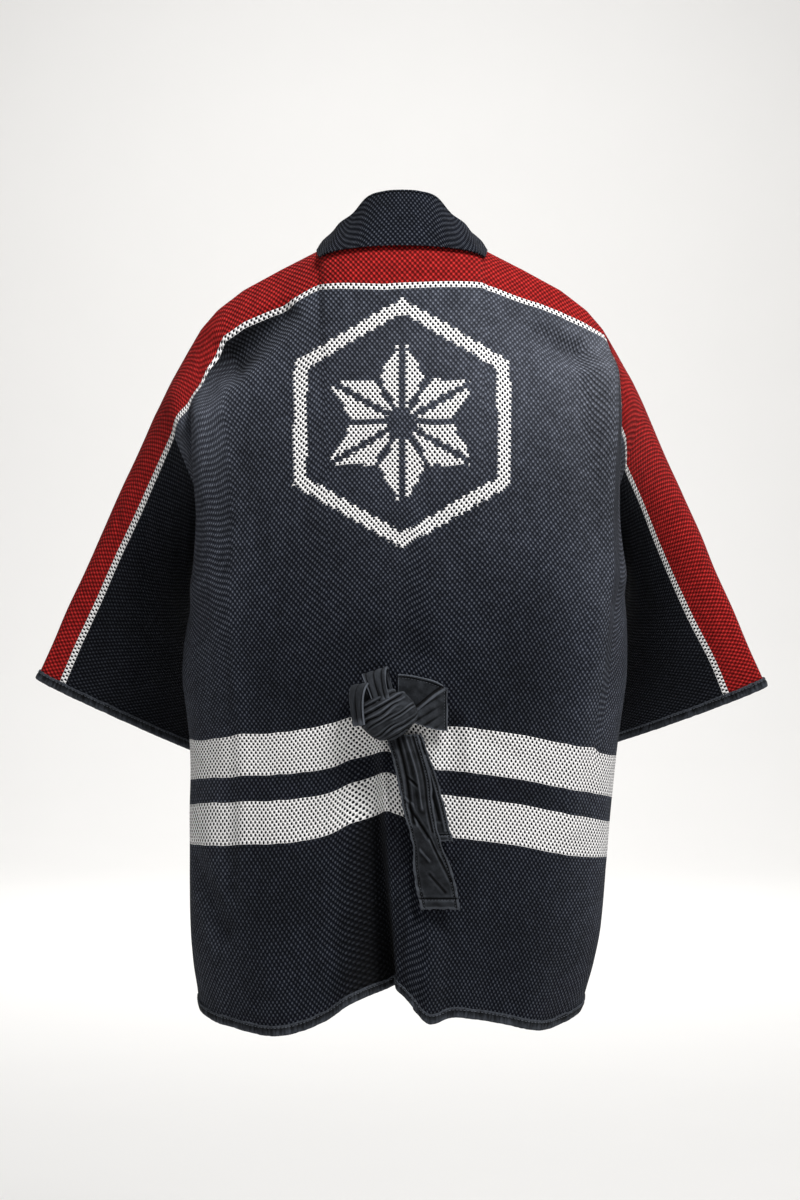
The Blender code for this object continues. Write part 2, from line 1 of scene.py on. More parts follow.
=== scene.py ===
"""The looks of a fireman's jacket of stitched cotton, seen from behind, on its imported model.

The wearer faces +Y, +X is the wearer's right and +Z is up. The origin is the base of the neck.
Sizes are in metres. Places on the cloth are measured on the cloth: across from the centre line,
and down from the fold that runs over the shoulders and along the tops of the sleeves.
"""

import math
from collections import namedtuple

import bpy
import numpy as np
from bpy.props import FloatProperty, FloatVectorProperty, PointerProperty
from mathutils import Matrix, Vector
from mathutils.bvhtree import BVHTree


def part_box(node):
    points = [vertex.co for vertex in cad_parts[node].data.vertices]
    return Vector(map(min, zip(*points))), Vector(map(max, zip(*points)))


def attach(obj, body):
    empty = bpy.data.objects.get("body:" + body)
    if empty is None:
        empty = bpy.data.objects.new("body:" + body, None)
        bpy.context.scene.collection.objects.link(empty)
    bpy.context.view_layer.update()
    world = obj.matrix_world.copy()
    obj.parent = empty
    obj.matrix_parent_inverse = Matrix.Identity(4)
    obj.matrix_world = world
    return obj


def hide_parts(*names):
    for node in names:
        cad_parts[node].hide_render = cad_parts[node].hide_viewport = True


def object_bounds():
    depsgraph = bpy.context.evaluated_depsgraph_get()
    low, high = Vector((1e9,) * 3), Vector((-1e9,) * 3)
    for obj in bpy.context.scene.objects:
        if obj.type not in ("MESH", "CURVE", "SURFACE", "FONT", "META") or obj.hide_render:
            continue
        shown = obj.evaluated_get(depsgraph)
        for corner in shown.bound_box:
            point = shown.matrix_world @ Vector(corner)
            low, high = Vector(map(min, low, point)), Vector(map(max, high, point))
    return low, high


bl_info = {
    "name": "Fireman jacket",
    "version": (1, 0, 0),
    "blender": (4, 5, 0),
    "location": "View3D > Sidebar > Jacket",
    "description": "Dresses the packed model of a stitched cotton jacket",
    "category": "Object",
}

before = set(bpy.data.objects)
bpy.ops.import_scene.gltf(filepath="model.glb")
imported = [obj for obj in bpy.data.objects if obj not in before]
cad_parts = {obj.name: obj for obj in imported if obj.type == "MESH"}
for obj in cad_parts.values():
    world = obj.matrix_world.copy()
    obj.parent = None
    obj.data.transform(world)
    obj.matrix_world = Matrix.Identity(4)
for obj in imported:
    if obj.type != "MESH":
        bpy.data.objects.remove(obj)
CAD_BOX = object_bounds()

# The cut, with the driving sizes of the solids. The hem above the deep fold, one fold near the left
# shoulder and the collar's turn differ from theirs by a few millimetres.
WALL = 0.002
PANEL_HALF_WIDTH = 0.352
NECK_HALF_WIDTH = 0.095
NECK_DEPTH = 0.045
NAPE_RISE = 0.013
UNDERARM_HEIGHT = -0.310
RING_POWER = 2.0 / 2.4
PULL_FADE = 0.20

BodySection = namedtuple("BodySection", "height left right back front")
BODY = (
    BodySection(-0.310, 0.259, 0.273, 0.113, 0.102),
    BodySection(-0.383, 0.262, 0.277, 0.115, 0.104),
    BodySection(-0.475, 0.257, 0.264, 0.113, 0.103),
    BodySection(-0.574, 0.246, 0.250, 0.109, 0.102),
    BodySection(-0.682, 0.246, 0.239, 0.113, 0.104),
    BodySection(-0.796, 0.244, 0.228, 0.117, 0.106),
    BodySection(-0.890, 0.232, 0.204, 0.118, 0.106),
)

ShoulderPoint = namedtuple("ShoulderPoint", "out height")
SHOULDER = (
    ShoulderPoint(0.095, 0.001),
    ShoulderPoint(0.140, -0.022),
    ShoulderPoint(0.184, -0.046),
    ShoulderPoint(0.214, -0.069),
    ShoulderPoint(0.233, -0.091),
    ShoulderPoint(0.247, -0.115),
    ShoulderPoint(0.266, -0.149),
    ShoulderPoint(0.279, -0.176),
)

HemPoint = namedtuple("HemPoint", "across height")
BACK_HEM = (
    HemPoint(-0.352, -0.872),
    HemPoint(-0.250, -0.888),
    HemPoint(-0.150, -0.889),
    HemPoint(-0.100, -0.872),
    HemPoint(-0.060, -0.849),
    HemPoint(-0.020, -0.838),
    HemPoint(0.005, -0.848),
    HemPoint(0.035, -0.874),
    HemPoint(0.080, -0.871),
    HemPoint(0.150, -0.878),
    HemPoint(0.230, -0.889),
    HemPoint(0.300, -0.880),
    HemPoint(0.352, -0.872),
)
FRONT_HEM_HEIGHT = -0.876
FRONT_EDGE_TURNS = (1.70, 1.77)

# Folds as soft lines drawn on a panel: a depth above 0 goes in, below 0 stands out.
Fold = namedtuple("Fold", "top_across top low_across low top_width low_width top_depth low_depth lean")
BACK_FOLDS = (
    Fold(-0.050, -0.56, -0.038, -1.00, 0.026, 0.050, 0.006, 0.072, 0.50),
    Fold(0.034, -0.66, 0.040, -1.00, 0.030, 0.050, -0.004, -0.016, 0.0),
    Fold(-0.170, -0.74, -0.180, -1.00, 0.060, 0.080, -0.002, -0.014, 0.0),
    Fold(0.190, -0.76, 0.215, -1.00, 0.050, 0.070, -0.002, -0.012, 0.0),
    Fold(0.064, -0.55, 0.070, -0.66, 0.024, 0.030, 0.007, 0.003, 0.0),
    Fold(0.000, -0.34, 0.008, -0.46, 0.030, 0.034, 0.003, 0.006, 0.0),
    Fold(-0.140, -0.080, -0.215, -0.135, 0.024, 0.034, 0.012, 0.030, 0.0),
    Fold(-0.130, -0.115, -0.215, -0.185, 0.026, 0.036, -0.003, -0.010, 0.0),
    Fold(-0.252, -0.200, -0.285, -0.380, 0.046, 0.052, -0.030, -0.012, -0.30),
    Fold(0.165, -0.105, 0.215, -0.125, 0.022, 0.026, 0.008, 0.014, 0.0),
    Fold(0.252, -0.150, 0.284, -0.370, 0.046, 0.048, -0.030, -0.012, 0.20),
    Fold(-0.300, -0.70, -0.250, -0.78, 0.030, 0.030, 0.005, 0.007, 0.0),
)
# The finer creases, which the solids leave out.
BACK_CREASES = (
    Fold(-0.016, -0.56, -0.010, -0.80, 0.010, 0.014, 0.0030, 0.0060, 0.0),
    Fold(-0.075, -0.58, -0.085, -0.80, 0.016, 0.022, 0.0020, 0.0040, 0.0),
    Fold(0.020, -0.76, 0.016, -1.00, 0.007, 0.010, -0.0020, -0.0060, 0.0),
    Fold(-0.235, -0.40, -0.222, -0.70, 0.030, 0.034, -0.0030, -0.0030, 0.0),
    Fold(0.246, -0.42, 0.238, -0.66, 0.026, 0.030, -0.0030, -0.0030, 0.0),
    Fold(-0.205, -0.25, -0.160, -0.42, 0.020, 0.026, 0.0025, 0.0010, 0.0),
    Fold(0.205, -0.22, 0.150, -0.36, 0.020, 0.026, 0.0025, 0.0010, 0.0),
    Fold(0.100, -0.56, 0.190, -0.60, 0.014, 0.020, 0.0020, 0.0010, 0.0),
    Fold(-0.060, -0.52, -0.160, -0.56, 0.014, 0.020, 0.0022, 0.0008, 0.0),
    Fold(-0.150, -0.84, -0.200, -0.86, 0.012, 0.016, 0.0020, 0.0030, 0.0),
    Fold(0.120, -0.80, 0.150, -1.00, 0.020, 0.028, 0.0015, 0.0040, 0.0),
    Fold(0.008, -0.68, 0.011, -1.00, 0.010, 0.015, -0.0020, -0.0110, 0.0),
    Fold(-0.230, -0.30, -0.236, -0.74, 0.016, 0.020, 0.0010, 0.0040, 0.0),
    Fold(0.030, -0.30, 0.130, -0.46, 0.030, 0.036, 0.0030, 0.0010, 0.0),
    Fold(-0.010, -0.44, -0.120, -0.50, 0.016, 0.024, 0.0022, 0.0008, 0.0),
    Fold(0.020, -0.46, 0.140, -0.54, 0.018, 0.026, 0.0022, 0.0010, 0.0),
    Fold(-0.250, -0.86, -0.256, -1.00, 0.014, 0.018, 0.0020, 0.0040, 0.0),
    Fold(-0.200, -0.060, -0.238, -0.090, 0.012, 0.016, -0.0020, -0.0040, 0.0),
    Fold(0.205, -0.070, 0.262, -0.110, 0.013, 0.018, -0.0020, -0.0040, 0.0),
)
# Painted shade on the back, inside its deepest folds, as shares from 0 to 1.
BACK_SHADES = (
    Fold(-0.140, -0.068, -0.240, -0.122, 0.018, 0.048, 0.85, 1.00, 0.0),
    Fold(-0.050, -0.630, -0.070, -1.000, 0.036, 0.044, 0.80, 1.00, 0.0),
)
FRONT_FOLDS = (
    Fold(0.180, -0.46, 0.200, -1.00, 0.040, 0.060, 0.003, 0.016, 0.0),
)
FRONT_CREASES = (
    Fold(0.230, -0.16, 0.200, -0.40, 0.020, 0.028, 0.0030, 0.0010, 0.0),
    Fold(0.150, -0.10, 0.140, -0.30, 0.016, 0.022, 0.0020, 0.0010, 0.0),
    Fold(0.260, -0.52, 0.255, -0.84, 0.020, 0.026, -0.0020, -0.0040, 0.0),
    Fold(0.140, -0.60, 0.146, -1.00, 0.020, 0.028, 0.0010, 0.0040, 0.0),
)

Sleeve = namedtuple("Sleeve", "side shoulder underarm cuff_top cuff_low elbow_low")
SLEEVES = {
    "left": Sleeve(
        -1, (-0.279, 0.0, -0.176), (-0.226, 0.030, -0.312), (-0.428, 0.030, -0.497),
        (-0.235, 0.132, -0.592), (-0.250, 0.116, -0.452),
    ),
    "right": Sleeve(
        1, (0.279, 0.0, -0.176), (0.242, 0.031, -0.312), (0.427, 0.030, -0.506),
        (0.240, 0.132, -0.580), (0.267, 0.116, -0.447),
    ),
}
ARMHOLE_DEPTHS = {"back": (0.072, -0.04), "front": (0.080, 0.15)}
ARMHOLE_REACH = {"back": 0.66, "front": 0.50}
CUFF_OPENING = 0.024
# How round the panels go over the shoulder: at the neck, and how much more this far out from it.
ROUND_AT_NECK = 0.55
ROUND_GAIN = 0.20
ROUND_FADE = 0.06
# How near the side seam a front's hem turns to meet the back's, and how near the seams folds fade.
HEM_MEETS = 0.06
SEAM_FADE = 0.03
SEAM_FADE_LEVEL = 0.13
# The soft unevenness of the body's cloth: how high its swells stand, and their size.
SWELLS = ((0.0012, 0.055), (0.0005, 0.022))

# Creases of a sleeve: where each runs, as a share of its length and metres from the fold.
SleeveCrease = namedtuple("SleeveCrease", "start start_down end end_down width depth")
SLEEVE_CREASES = {
    "left": (
        SleeveCrease(0.20, 0.060, 0.60, 0.110, 0.018, 0.0030),
        SleeveCrease(0.78, 0.150, 0.97, 0.120, 0.016, -0.0030),
        SleeveCrease(0.35, 0.020, 0.46, 0.055, 0.010, 0.0016),
        SleeveCrease(0.10, 0.110, 0.45, 0.180, 0.020, 0.0030),
        SleeveCrease(0.30, -0.040, 0.70, -0.090, 0.022, 0.0030),
        SleeveCrease(0.10, -0.110, 0.50, -0.170, 0.020, 0.0030),
    ),
    "right": (
        SleeveCrease(0.15, 0.080, 0.55, 0.120, 0.018, 0.0030),
        SleeveCrease(0.60, 0.030, 0.95, 0.045, 0.016, -0.0016),
        SleeveCrease(0.08, 0.110, 0.40, 0.170, 0.020, 0.0030),
        SleeveCrease(0.25, -0.050, 0.75, -0.080, 0.022, 0.0030),
        SleeveCrease(0.12, -0.120, 0.50, -0.160, 0.020, 0.0030),
    ),
}
# How far the fold of a sleeve is turned to the front from its top edge, along its length.
SleeveTurn = namedtuple("SleeveTurn", "part turned")
SLEEVE_TURNS = {
    "left": (
        SleeveTurn(0.00, 0.022), SleeveTurn(0.08, 0.014), SleeveTurn(0.16, 0.007),
        SleeveTurn(0.33, -0.005), SleeveTurn(0.49, -0.014), SleeveTurn(0.66, -0.019),
        SleeveTurn(0.82, -0.023), SleeveTurn(1.00, -0.024),
    ),
    "right": (
        SleeveTurn(0.00, 0.060), SleeveTurn(0.16, 0.039), SleeveTurn(0.33, 0.024), SleeveTurn(0.49, 0.012),
        SleeveTurn(0.66, 0.003), SleeveTurn(0.82, -0.005), SleeveTurn(1.00, -0.007),
    ),
}
# The same on the body, from its left side to its right.
ShoulderTurn = namedtuple("ShoulderTurn", "across turned")
SHOULDER_TURNS = (
    ShoulderTurn(-0.352, 0.022), ShoulderTurn(-0.300, 0.032), ShoulderTurn(-0.262, 0.028),
    ShoulderTurn(-0.236, 0.006), ShoulderTurn(-0.221, -0.003), ShoulderTurn(-0.188, 0.000),
    ShoulderTurn(-0.155, 0.004), ShoulderTurn(-0.122, 0.011), ShoulderTurn(-0.092, 0.018),
    ShoulderTurn(-0.020, 0.0205), ShoulderTurn(0.046, 0.017), ShoulderTurn(0.100, 0.015),
    ShoulderTurn(0.133, 0.002), ShoulderTurn(0.166, -0.0096), ShoulderTurn(0.199, -0.016),
    ShoulderTurn(0.232, -0.026), ShoulderTurn(0.264, -0.044), ShoulderTurn(0.276, 0.048),
    ShoulderTurn(0.300, 0.056), ShoulderTurn(0.352, 0.060),
)
# On the fronts, this far down from the shoulder, the turn has become calmer.
FRONT_TURNS = (
    ShoulderTurn(-0.352, 0.022), ShoulderTurn(-0.092, 0.018),
    ShoulderTurn(0.092, 0.016), ShoulderTurn(0.352, 0.060),
)
FRONT_TURN_REACH = 0.03
# The panels' flat length, how wide the cloth is for each metre of their width, and where down them
# the slack under the arms is taken up.
PANEL_LENGTH = 0.893
WIDTH_SCALE = 0.893
SLACK = (0.10, 0.72)
# How far the drape pulls the upper and the lower white stripe up, from the left side to the right.
StripePull = namedtuple("StripePull", "across upper lower")
STRIPE_PULLS = (
    StripePull(-0.352, -0.0150, -0.0170), StripePull(-0.330, -0.0080, -0.0126),
    StripePull(-0.297, 0.0035, -0.0033), StripePull(-0.265, 0.0086, 0.0042),
    StripePull(-0.232, 0.0106, 0.0090), StripePull(-0.199, 0.0150, 0.0140),
    StripePull(-0.166, 0.0160, 0.0148), StripePull(-0.133, 0.0108, 0.0106),
    StripePull(-0.100, 0.0017, 0.0035), StripePull(-0.063, -0.0108, -0.0033),
    StripePull(-0.012, -0.0195, -0.0035), StripePull(0.006, -0.0165, -0.0018),
    StripePull(0.023, -0.0030, 0.0085), StripePull(0.040, 0.0054, 0.0125),
    StripePull(0.058, 0.0033, 0.0062), StripePull(0.075, -0.0018, -0.0008),
    StripePull(0.100, -0.0040, -0.0025), StripePull(0.188, -0.0024, -0.0003),
    StripePull(0.221, -0.0028, -0.0014), StripePull(0.254, -0.0084, -0.0079),
    StripePull(0.286, -0.0139, -0.0180), StripePull(0.319, -0.0220, -0.0273),
    StripePull(0.352, -0.0300, -0.0355),
)
# Where above the hem each pull begins, is whole and has ended.
PULL_HEIGHTS = {"upper": (0.225, 0.300, 0.46), "lower": (0.05, 0.225, 0.300)}
# How far out on a front the pulls begin, and over how much they grow to the side seam's.
FRONT_PULLS_FROM = 0.22
FRONT_PULLS_GROW = 0.13

CollarSection = namedtuple("CollarSection", "place out forward rise")
COLLAR_FOLD = (
    CollarSection(-1.00, 0.000, -0.008, 0.047),
    CollarSection(-0.75, -0.004, -0.009, 0.046),
    CollarSection(-0.50, -0.008, -0.009, 0.041),
    CollarSection(-0.30, -0.011, -0.006, 0.026),
    CollarSection(-0.12, -0.014, -0.002, 0.021),
    CollarSection(0.00, -0.018, 0.005, 0.019),
    CollarSection(0.13, -0.034, 0.012, 0.014),
)
COLLAR_FRONT_FROM = 0.28
COLLAR_BAND_WIDTH = 0.048
COLLAR_LAP = 0.014
COLLAR_CLEARANCE = 0.0045
COLLAR_CROWN = 0.0036
COLLAR_LIFT = 0.0006
COLLAR_STITCH_INSET = 0.0035
NAPE_LAP_SPREAD = 1.05
NAPE_LAP_LEVEL = 0.062
NAPE_LAP_LIFT = np.array((0, -0.6, 0.8)) * COLLAR_CLEARANCE

# The waist tie, seen from behind.
Strip = namedtuple("Strip", "height left right")
LONG_TAIL = (
    Strip(-0.556, -0.018, 0.018),
    Strip(-0.601, -0.006, 0.031),
    Strip(-0.642, 0.002, 0.036),
    Strip(-0.676, 0.011, 0.044),
    Strip(-0.708, 0.013, 0.056),
    Strip(-0.750, 0.021, 0.065),
)
SHORT_TAIL = (
    Strip(-0.556, -0.012, 0.022),
    Strip(-0.612, 0.006, 0.041),
    Strip(-0.655, 0.017, 0.052),
    Strip(-0.675, 0.022, 0.057),
)

# The photograph's frame is 800 x 1200 pixels, PIXEL metres each at the camera's distance.
PIXEL = 0.00112
FRAME_HEIGHT = 1200
CAMERA_DISTANCE = 3.0
CAMERA_PLACE = (-0.00224, -3.11, -0.4055)
SENSOR_HEIGHT_MM = 36.0
# Where the floor begins to curve up into the wall, that curve's radius, and how far both reach.
WALL_FOOT = 6.6
WALL_CURVE = 2.4
WALL_TOP = 12.0
FLOOR_REACH = 30.0
# The lights: the setting that holds each one's power, its place, what it looks at and its size.
Lamp = namedtuple("Lamp", "name power place aimed_at size")
LAMPS = (
    Lamp("key_light", "key_power", (1.15, -1.40, 1.95), (0, 0, -0.45), 0.8),
    Lamp("fill_light", "fill_power", (-1.6, -2.8, 0.6), (0, 0, -0.4), 1.6),
    Lamp("wall_light", "wall_power", (0, 4.6, 3.0), (0, 6.4, -1.4), 3.0),
)


def length_setting(name, description, default, least=0.0):
    return FloatProperty(name=name, description=description, default=default, min=least, unit="LENGTH")


def power_setting(name, description, default):
    return FloatProperty(name=name, description=description, default=default, min=0.0, unit="POWER")


def colour_setting(name, description, default):
    return FloatVectorProperty(
        name=name, description=description, default=default, subtype="COLOR", size=3, min=0, max=1,
    )


class JacketWeave(bpy.types.PropertyGroup):
    """The stitched weave and what is dyed into it."""

    stitch_pitch: length_setting("Stitch pitch", "From one stitch to the next along a row", 0.0053, 0.001)
    row_pitch: length_setting("Row pitch", "From one row of stitches to the next", 0.0036, 0.001)
    red_width: length_setting("Red band", "How far the red band reaches down from the shoulder fold", 0.0525)
    line_width: length_setting("White line", "Width of the white line under the red band", 0.0068)
    stripe_width: length_setting("White stripe", "Width of each white stripe above the hem", 0.048)
    stripe_gap: length_setting("Stripe gap", "Between the two white stripes", 0.029)
    stripe_height: length_setting("Stripe height", "From the hem up to the lower white stripe", 0.200)
    badge_height: FloatProperty(
        name="Badge height", description="Height of the middle of the six-sided badge from the neck",
        default=-0.206, unit="LENGTH",
    )
    badge_reach: length_setting("Badge reach", "From the badge's middle to the outside of a flat side", 0.122)
    badge_frame: length_setting("Badge frame", "Width of the badge's frame", 0.0145)
    leaf_reach: length_setting("Leaf reach", "Length of the hemp leaves inside the badge", 0.096)
    leaf_vein: length_setting("Leaf vein", "Width of the dark veins between the leaves", 0.0072)


class JacketColours(bpy.types.PropertyGroup):
    """The dyes and threads."""

    navy: colour_setting("Navy ground", "The cloth between the stitches", (0.0036, 0.0050, 0.0100))
    navy_stitch: colour_setting("Navy stitch", "The raised stitches of the navy cloth", (0.070, 0.078, 0.097))
    red: colour_setting("Red ground", "The red band between its stitches", (0.120, 0.003, 0.003))
    red_stitch: colour_setting("Red stitch", "The raised stitches of the red band", (0.530, 0.026, 0.024))
    white: colour_setting("White", "The undyed stitches", (0.980, 0.970, 0.965))
    binding: colour_setting("Binding", "The strips on the hem and cuffs", (0.034, 0.038, 0.046))
    tape: colour_setting("Tape", "The tie at the waist", (0.046, 0.051, 0.060))
    thread: colour_setting("Thread", "The sewing thread", (0.105, 0.115, 0.135))


class JacketStage(bpy.types.PropertyGroup):
    """The room and its light."""

    backdrop: colour_setting("Backdrop", "The pale floor and the wall behind it", (0.86, 0.85, 0.835))
    floor_drop: length_setting("Floor drop", "From the jacket's lowest point down to the floor", 0.50)
    key_power: power_setting("Key light", "The light above, on the right", 106.0)
    fill_power: power_setting("Fill light", "The soft light beside the camera", 9.0)
    wall_power: power_setting("Wall light", "The light above the backdrop", 205.0)
    room_light: FloatProperty(
        name="Room light", description="Strength of the even light from all round", default=0.30, min=0.0,
    )


def smooth(value):
    value = np.clip(value, 0.0, 1.0)
    return value * value * (3 - 2 * value)


def unit(vectors):
    return vectors / np.maximum(np.linalg.norm(vectors, axis=-1, keepdims=True), 1e-12)


def read(table, column, at, by):
    """The values of a table's column, on a smooth curve through its rows."""
    keys = np.array([getattr(row, by) for row in table], float)
    values = np.array([getattr(row, column) for row in table], float)
    if keys[0] > keys[-1]:
        keys, values = keys[::-1], values[::-1]
    at = np.clip(np.asarray(at, float), keys[0], keys[-1])
    slopes = np.gradient(values, keys)
    row = np.clip(np.searchsorted(keys, at) - 1, 0, len(keys) - 2)
    span = keys[row + 1] - keys[row]
    part = (at - keys[row]) / span
    start = (1 + 2 * part) * (1 - part) ** 2 * values[row] + part * (1 - part) ** 2 * span * slopes[row]
    end = part ** 2 * (3 - 2 * part) * values[row + 1] + part ** 2 * (part - 1) * span * slopes[row + 1]
    return start + end


def straight(table, column, at, by):
    """The values of a table's column, on straight lines between its rows."""
    return np.interp(at, [getattr(row, by) for row in table], [getattr(row, column) for row in table])


def waver(across, down, size, seed):
    """Soft unevenness from -1 to 1, with swells of about one size, the same on each run."""
    lattice = np.random.default_rng(seed).uniform(-1, 1, (64, 64))
    x, y = across / size + 17.3, down / size + 23.7
    left, low = np.floor(x).astype(int), np.floor(y).astype(int)
    along, up = smooth(x - left), smooth(y - low)
    corner = lambda i, j: lattice[(left + i) % 64, (low + j) % 64]
    bottom = corner(0, 0) * (1 - along) + corner(1, 0) * along
    top = corner(0, 1) * (1 - along) + corner(1, 1) * along
    return bottom * (1 - up) + top * up


def quarter_ring():
    """A quarter of the body's ring, from the centre back to the side, by its length."""
    angles = np.linspace(0, math.pi / 2, 800)
    across, deep = np.sin(angles) ** RING_POWER, np.cos(angles) ** RING_POWER
    steps = np.hypot(np.diff(across) * BODY[0].left, np.diff(deep) * BODY[0].back)
    length = np.concatenate([[0], np.cumsum(steps)])
    return length / length[-1], across, deep


QUARTER_LENGTH, QUARTER_ACROSS, QUARTER_DEEP = quarter_ring()


def ring_points(height, turn):
    """Points round the body: turn is 0 at the centre back, 1 at the right side, 2 in front."""
    side = np.abs(turn)
    quarter = np.where(side <= 1, side, 2 - side)
    across = np.interp(quarter, QUARTER_LENGTH, QUARTER_ACROSS)
    deep = np.interp(quarter, QUARTER_LENGTH, QUARTER_DEEP)
    reach = np.where(turn > 0, read(BODY, "right", height, "height"), read(BODY, "left", height, "height"))
    rear, fore = read(BODY, "back", height, "height"), read(BODY, "front", height, "height")
    depth = np.where(side <= 1, -rear, fore)
    return np.stack([np.copysign(across * reach, turn), deep * depth, height + 0 * turn], axis=-1)


def ring_directions(height, turn):
    """The way out of the body and the way round it, both level."""
    step = 0.03
    round_it = unit(ring_points(height, turn + step) - ring_points(height, turn - step))
    return np.stack([round_it[..., 1], -round_it[..., 0], 0 * turn], axis=-1), round_it


def shoulder_lengths():
    """How far along the shoulder each of its points is from the centre line."""
    steps = [math.dist(a, b) for a, b in zip(SHOULDER, SHOULDER[1:])]
    lengths = NECK_HALF_WIDTH + np.concatenate([[0], np.cumsum(steps)])
    stretch = (PANEL_HALF_WIDTH - NECK_HALF_WIDTH) / (lengths[-1] - NECK_HALF_WIDTH)
    return NECK_HALF_WIDTH + (lengths - NECK_HALF_WIDTH) * stretch


SHOULDER_LENGTHS = shoulder_lengths()


def top_points(across):
    """The top of a panel: the neck edge of the back, then the shoulder line."""
    out = np.abs(across)
    round_neck = np.sqrt(np.clip(1 - (out / NECK_HALF_WIDTH) ** 2, 0, 1))
    neck = np.stack([across, -NECK_DEPTH * round_neck, SHOULDER[0].height + NAPE_RISE * round_neck], axis=-1)
    x = np.interp(out, SHOULDER_LENGTHS, [point.out for point in SHOULDER])
    z = np.interp(out, SHOULDER_LENGTHS, [point.height for point in SHOULDER])
    shoulder = np.stack([np.copysign(x, across), 0 * x, z], axis=-1)
    return np.where((out < NECK_HALF_WIDTH)[..., None], neck, shoulder)


def armhole_points(side, level, facing):
    """The armhole seam: level is 0 on the shoulder and 1 under the arm."""
    sleeve = SLEEVES[side]
    start, end = np.array(sleeve.shoulder), np.array(sleeve.underarm)
    angle = (math.pi * level)[..., None]
    depth, lean = ARMHOLE_DEPTHS[facing]
    way = unit(np.array((lean * sleeve.side, -1.0 if facing == "back" else 1.0, 0.0)))
    return start + (end - start) * (1 - np.cos(angle)) / 2 + way * depth * np.sin(angle)


def along_line(start, run):
    """How far along a line places are, from 0 to 1, and how far off it, given from its start."""
    part = np.clip((start[0] * run[0] + start[1] * run[1]) / (run[0] ** 2 + run[1] ** 2), 0, 1)
    return part, np.hypot(start[0] - run[0] * part, start[1] - run[1] * part)


def trough(away):
    """The section of a fold: 1 in its middle, and 0 from its width on."""
    return np.where(away < 1, (1 + np.cos(np.pi * away)) / 2, 0)


def fold_shift(folds, across, height):
    """How far the folds move points out of the body, and how far round it."""
    out, round_it = np.zeros_like(across), np.zeros_like(across)
    for fold in folds:
        run = (fold.low_across - fold.top_across, fold.low - fold.top)
        part, off_line = along_line((across - fold.top_across, height - fold.top), run)
        width = fold.top_width + (fold.low_width - fold.top_width) * part
        depth = fold.top_depth + (fold.low_depth - fold.top_depth) * part
        swell = depth * trough(off_line / width)
        out -= swell
        round_it += swell * fold.lean
    return out, round_it


def front_turns(across, height):
    """How far round the body points of a front lie."""
    edge_turn = np.interp(height, (-0.89, UNDERARM_HEIGHT), FRONT_EDGE_TURNS)
    part = (PANEL_HALF_WIDTH - np.abs(across)) / (PANEL_HALF_WIDTH - NECK_HALF_WIDTH)
    return np.copysign(1 + part * (edge_turn - 1), across)


def by_side(across, left, right):
    return np.where((across > 0)[..., None], right, left)


def body_points(across, level, facing):
    """Points of the back or of a front: level is 1 at the underarm and 2 at the hem."""
    across, level = np.broadcast_arrays(np.asarray(across, float), np.asarray(level, float))
    sign = np.where(across > 0, 1.0, -1.0)
    if facing == "back":
        turn = across / PANEL_HALF_WIDTH
        hem = read(BACK_HEM, "height", across, "across")
        folds = BACK_FOLDS + BACK_CREASES
    else:
        turn = front_turns(across, UNDERARM_HEIGHT)
        near_side = (PANEL_HALF_WIDTH - HEM_MEETS, PANEL_HALF_WIDTH)
        hem = np.interp(np.abs(across), near_side, (FRONT_HEM_HEIGHT, BACK_HEM[0].height))
        folds = FRONT_FOLDS + FRONT_CREASES
    upper = np.minimum(level, 1.0)
    power = ROUND_AT_NECK + ROUND_GAIN * smooth((np.abs(across) - NECK_HALF_WIDTH) / ROUND_FADE)
    over = np.sin(np.pi / 2 * upper) ** power
    aside = upper if facing == "back" else 1 - (1 - upper) ** 1.5
    share = np.stack([aside, over, upper], axis=-1)
    top, low = top_points(across), ring_points(UNDERARM_HEIGHT, turn)
    above = top + (low - top) * share
    own_top, own_low = top_points(sign * PANEL_HALF_WIDTH), ring_points(UNDERARM_HEIGHT, sign)
    edge = by_side(across, armhole_points("left", upper, facing), armhole_points("right", upper, facing))
    pull_above = edge - (own_top + (own_low - own_top) * share)
    height = UNDERARM_HEIGHT + (hem - UNDERARM_HEIGHT) * (np.maximum(level, 1.0) - 1)
    below = ring_points(height, front_turns(across, height) if facing == "front" else turn)
    underarm = by_side(across, np.array(SLEEVES["left"].underarm), np.array(SLEEVES["right"].underarm))
    fade = 1 - smooth((UNDERARM_HEIGHT - height) / PULL_FADE)
    pull_below = (underarm - own_low) * fade[..., None]
    in_upper = (level <= 1)[..., None]
    reach = (np.abs(across) / PANEL_HALF_WIDTH - ARMHOLE_REACH[facing]) / (1 - ARMHOLE_REACH[facing])
    pull = np.where(in_upper, pull_above, pull_below)
    points = np.where(in_upper, above, below) + pull * smooth(reach)[..., None]
    out_way, round_way = ring_directions(np.minimum(points[..., 2], UNDERARM_HEIGHT), turn)
    seam_fade = smooth((PANEL_HALF_WIDTH - np.abs(across)) / SEAM_FADE) * smooth(level / SEAM_FADE_LEVEL)
    mirrored = across if facing == "back" else np.abs(across)
    out, round_it = fold_shift(folds, mirrored, points[..., 2])
    first_seed = 5 if facing == "back" else 6
    for number, (rise, size) in enumerate(SWELLS):
        out = out + rise * waver(across, points[..., 2], size, first_seed + number)
    return points + (out_way * out[..., None] + round_way * round_it[..., None]) * seam_fade[..., None]


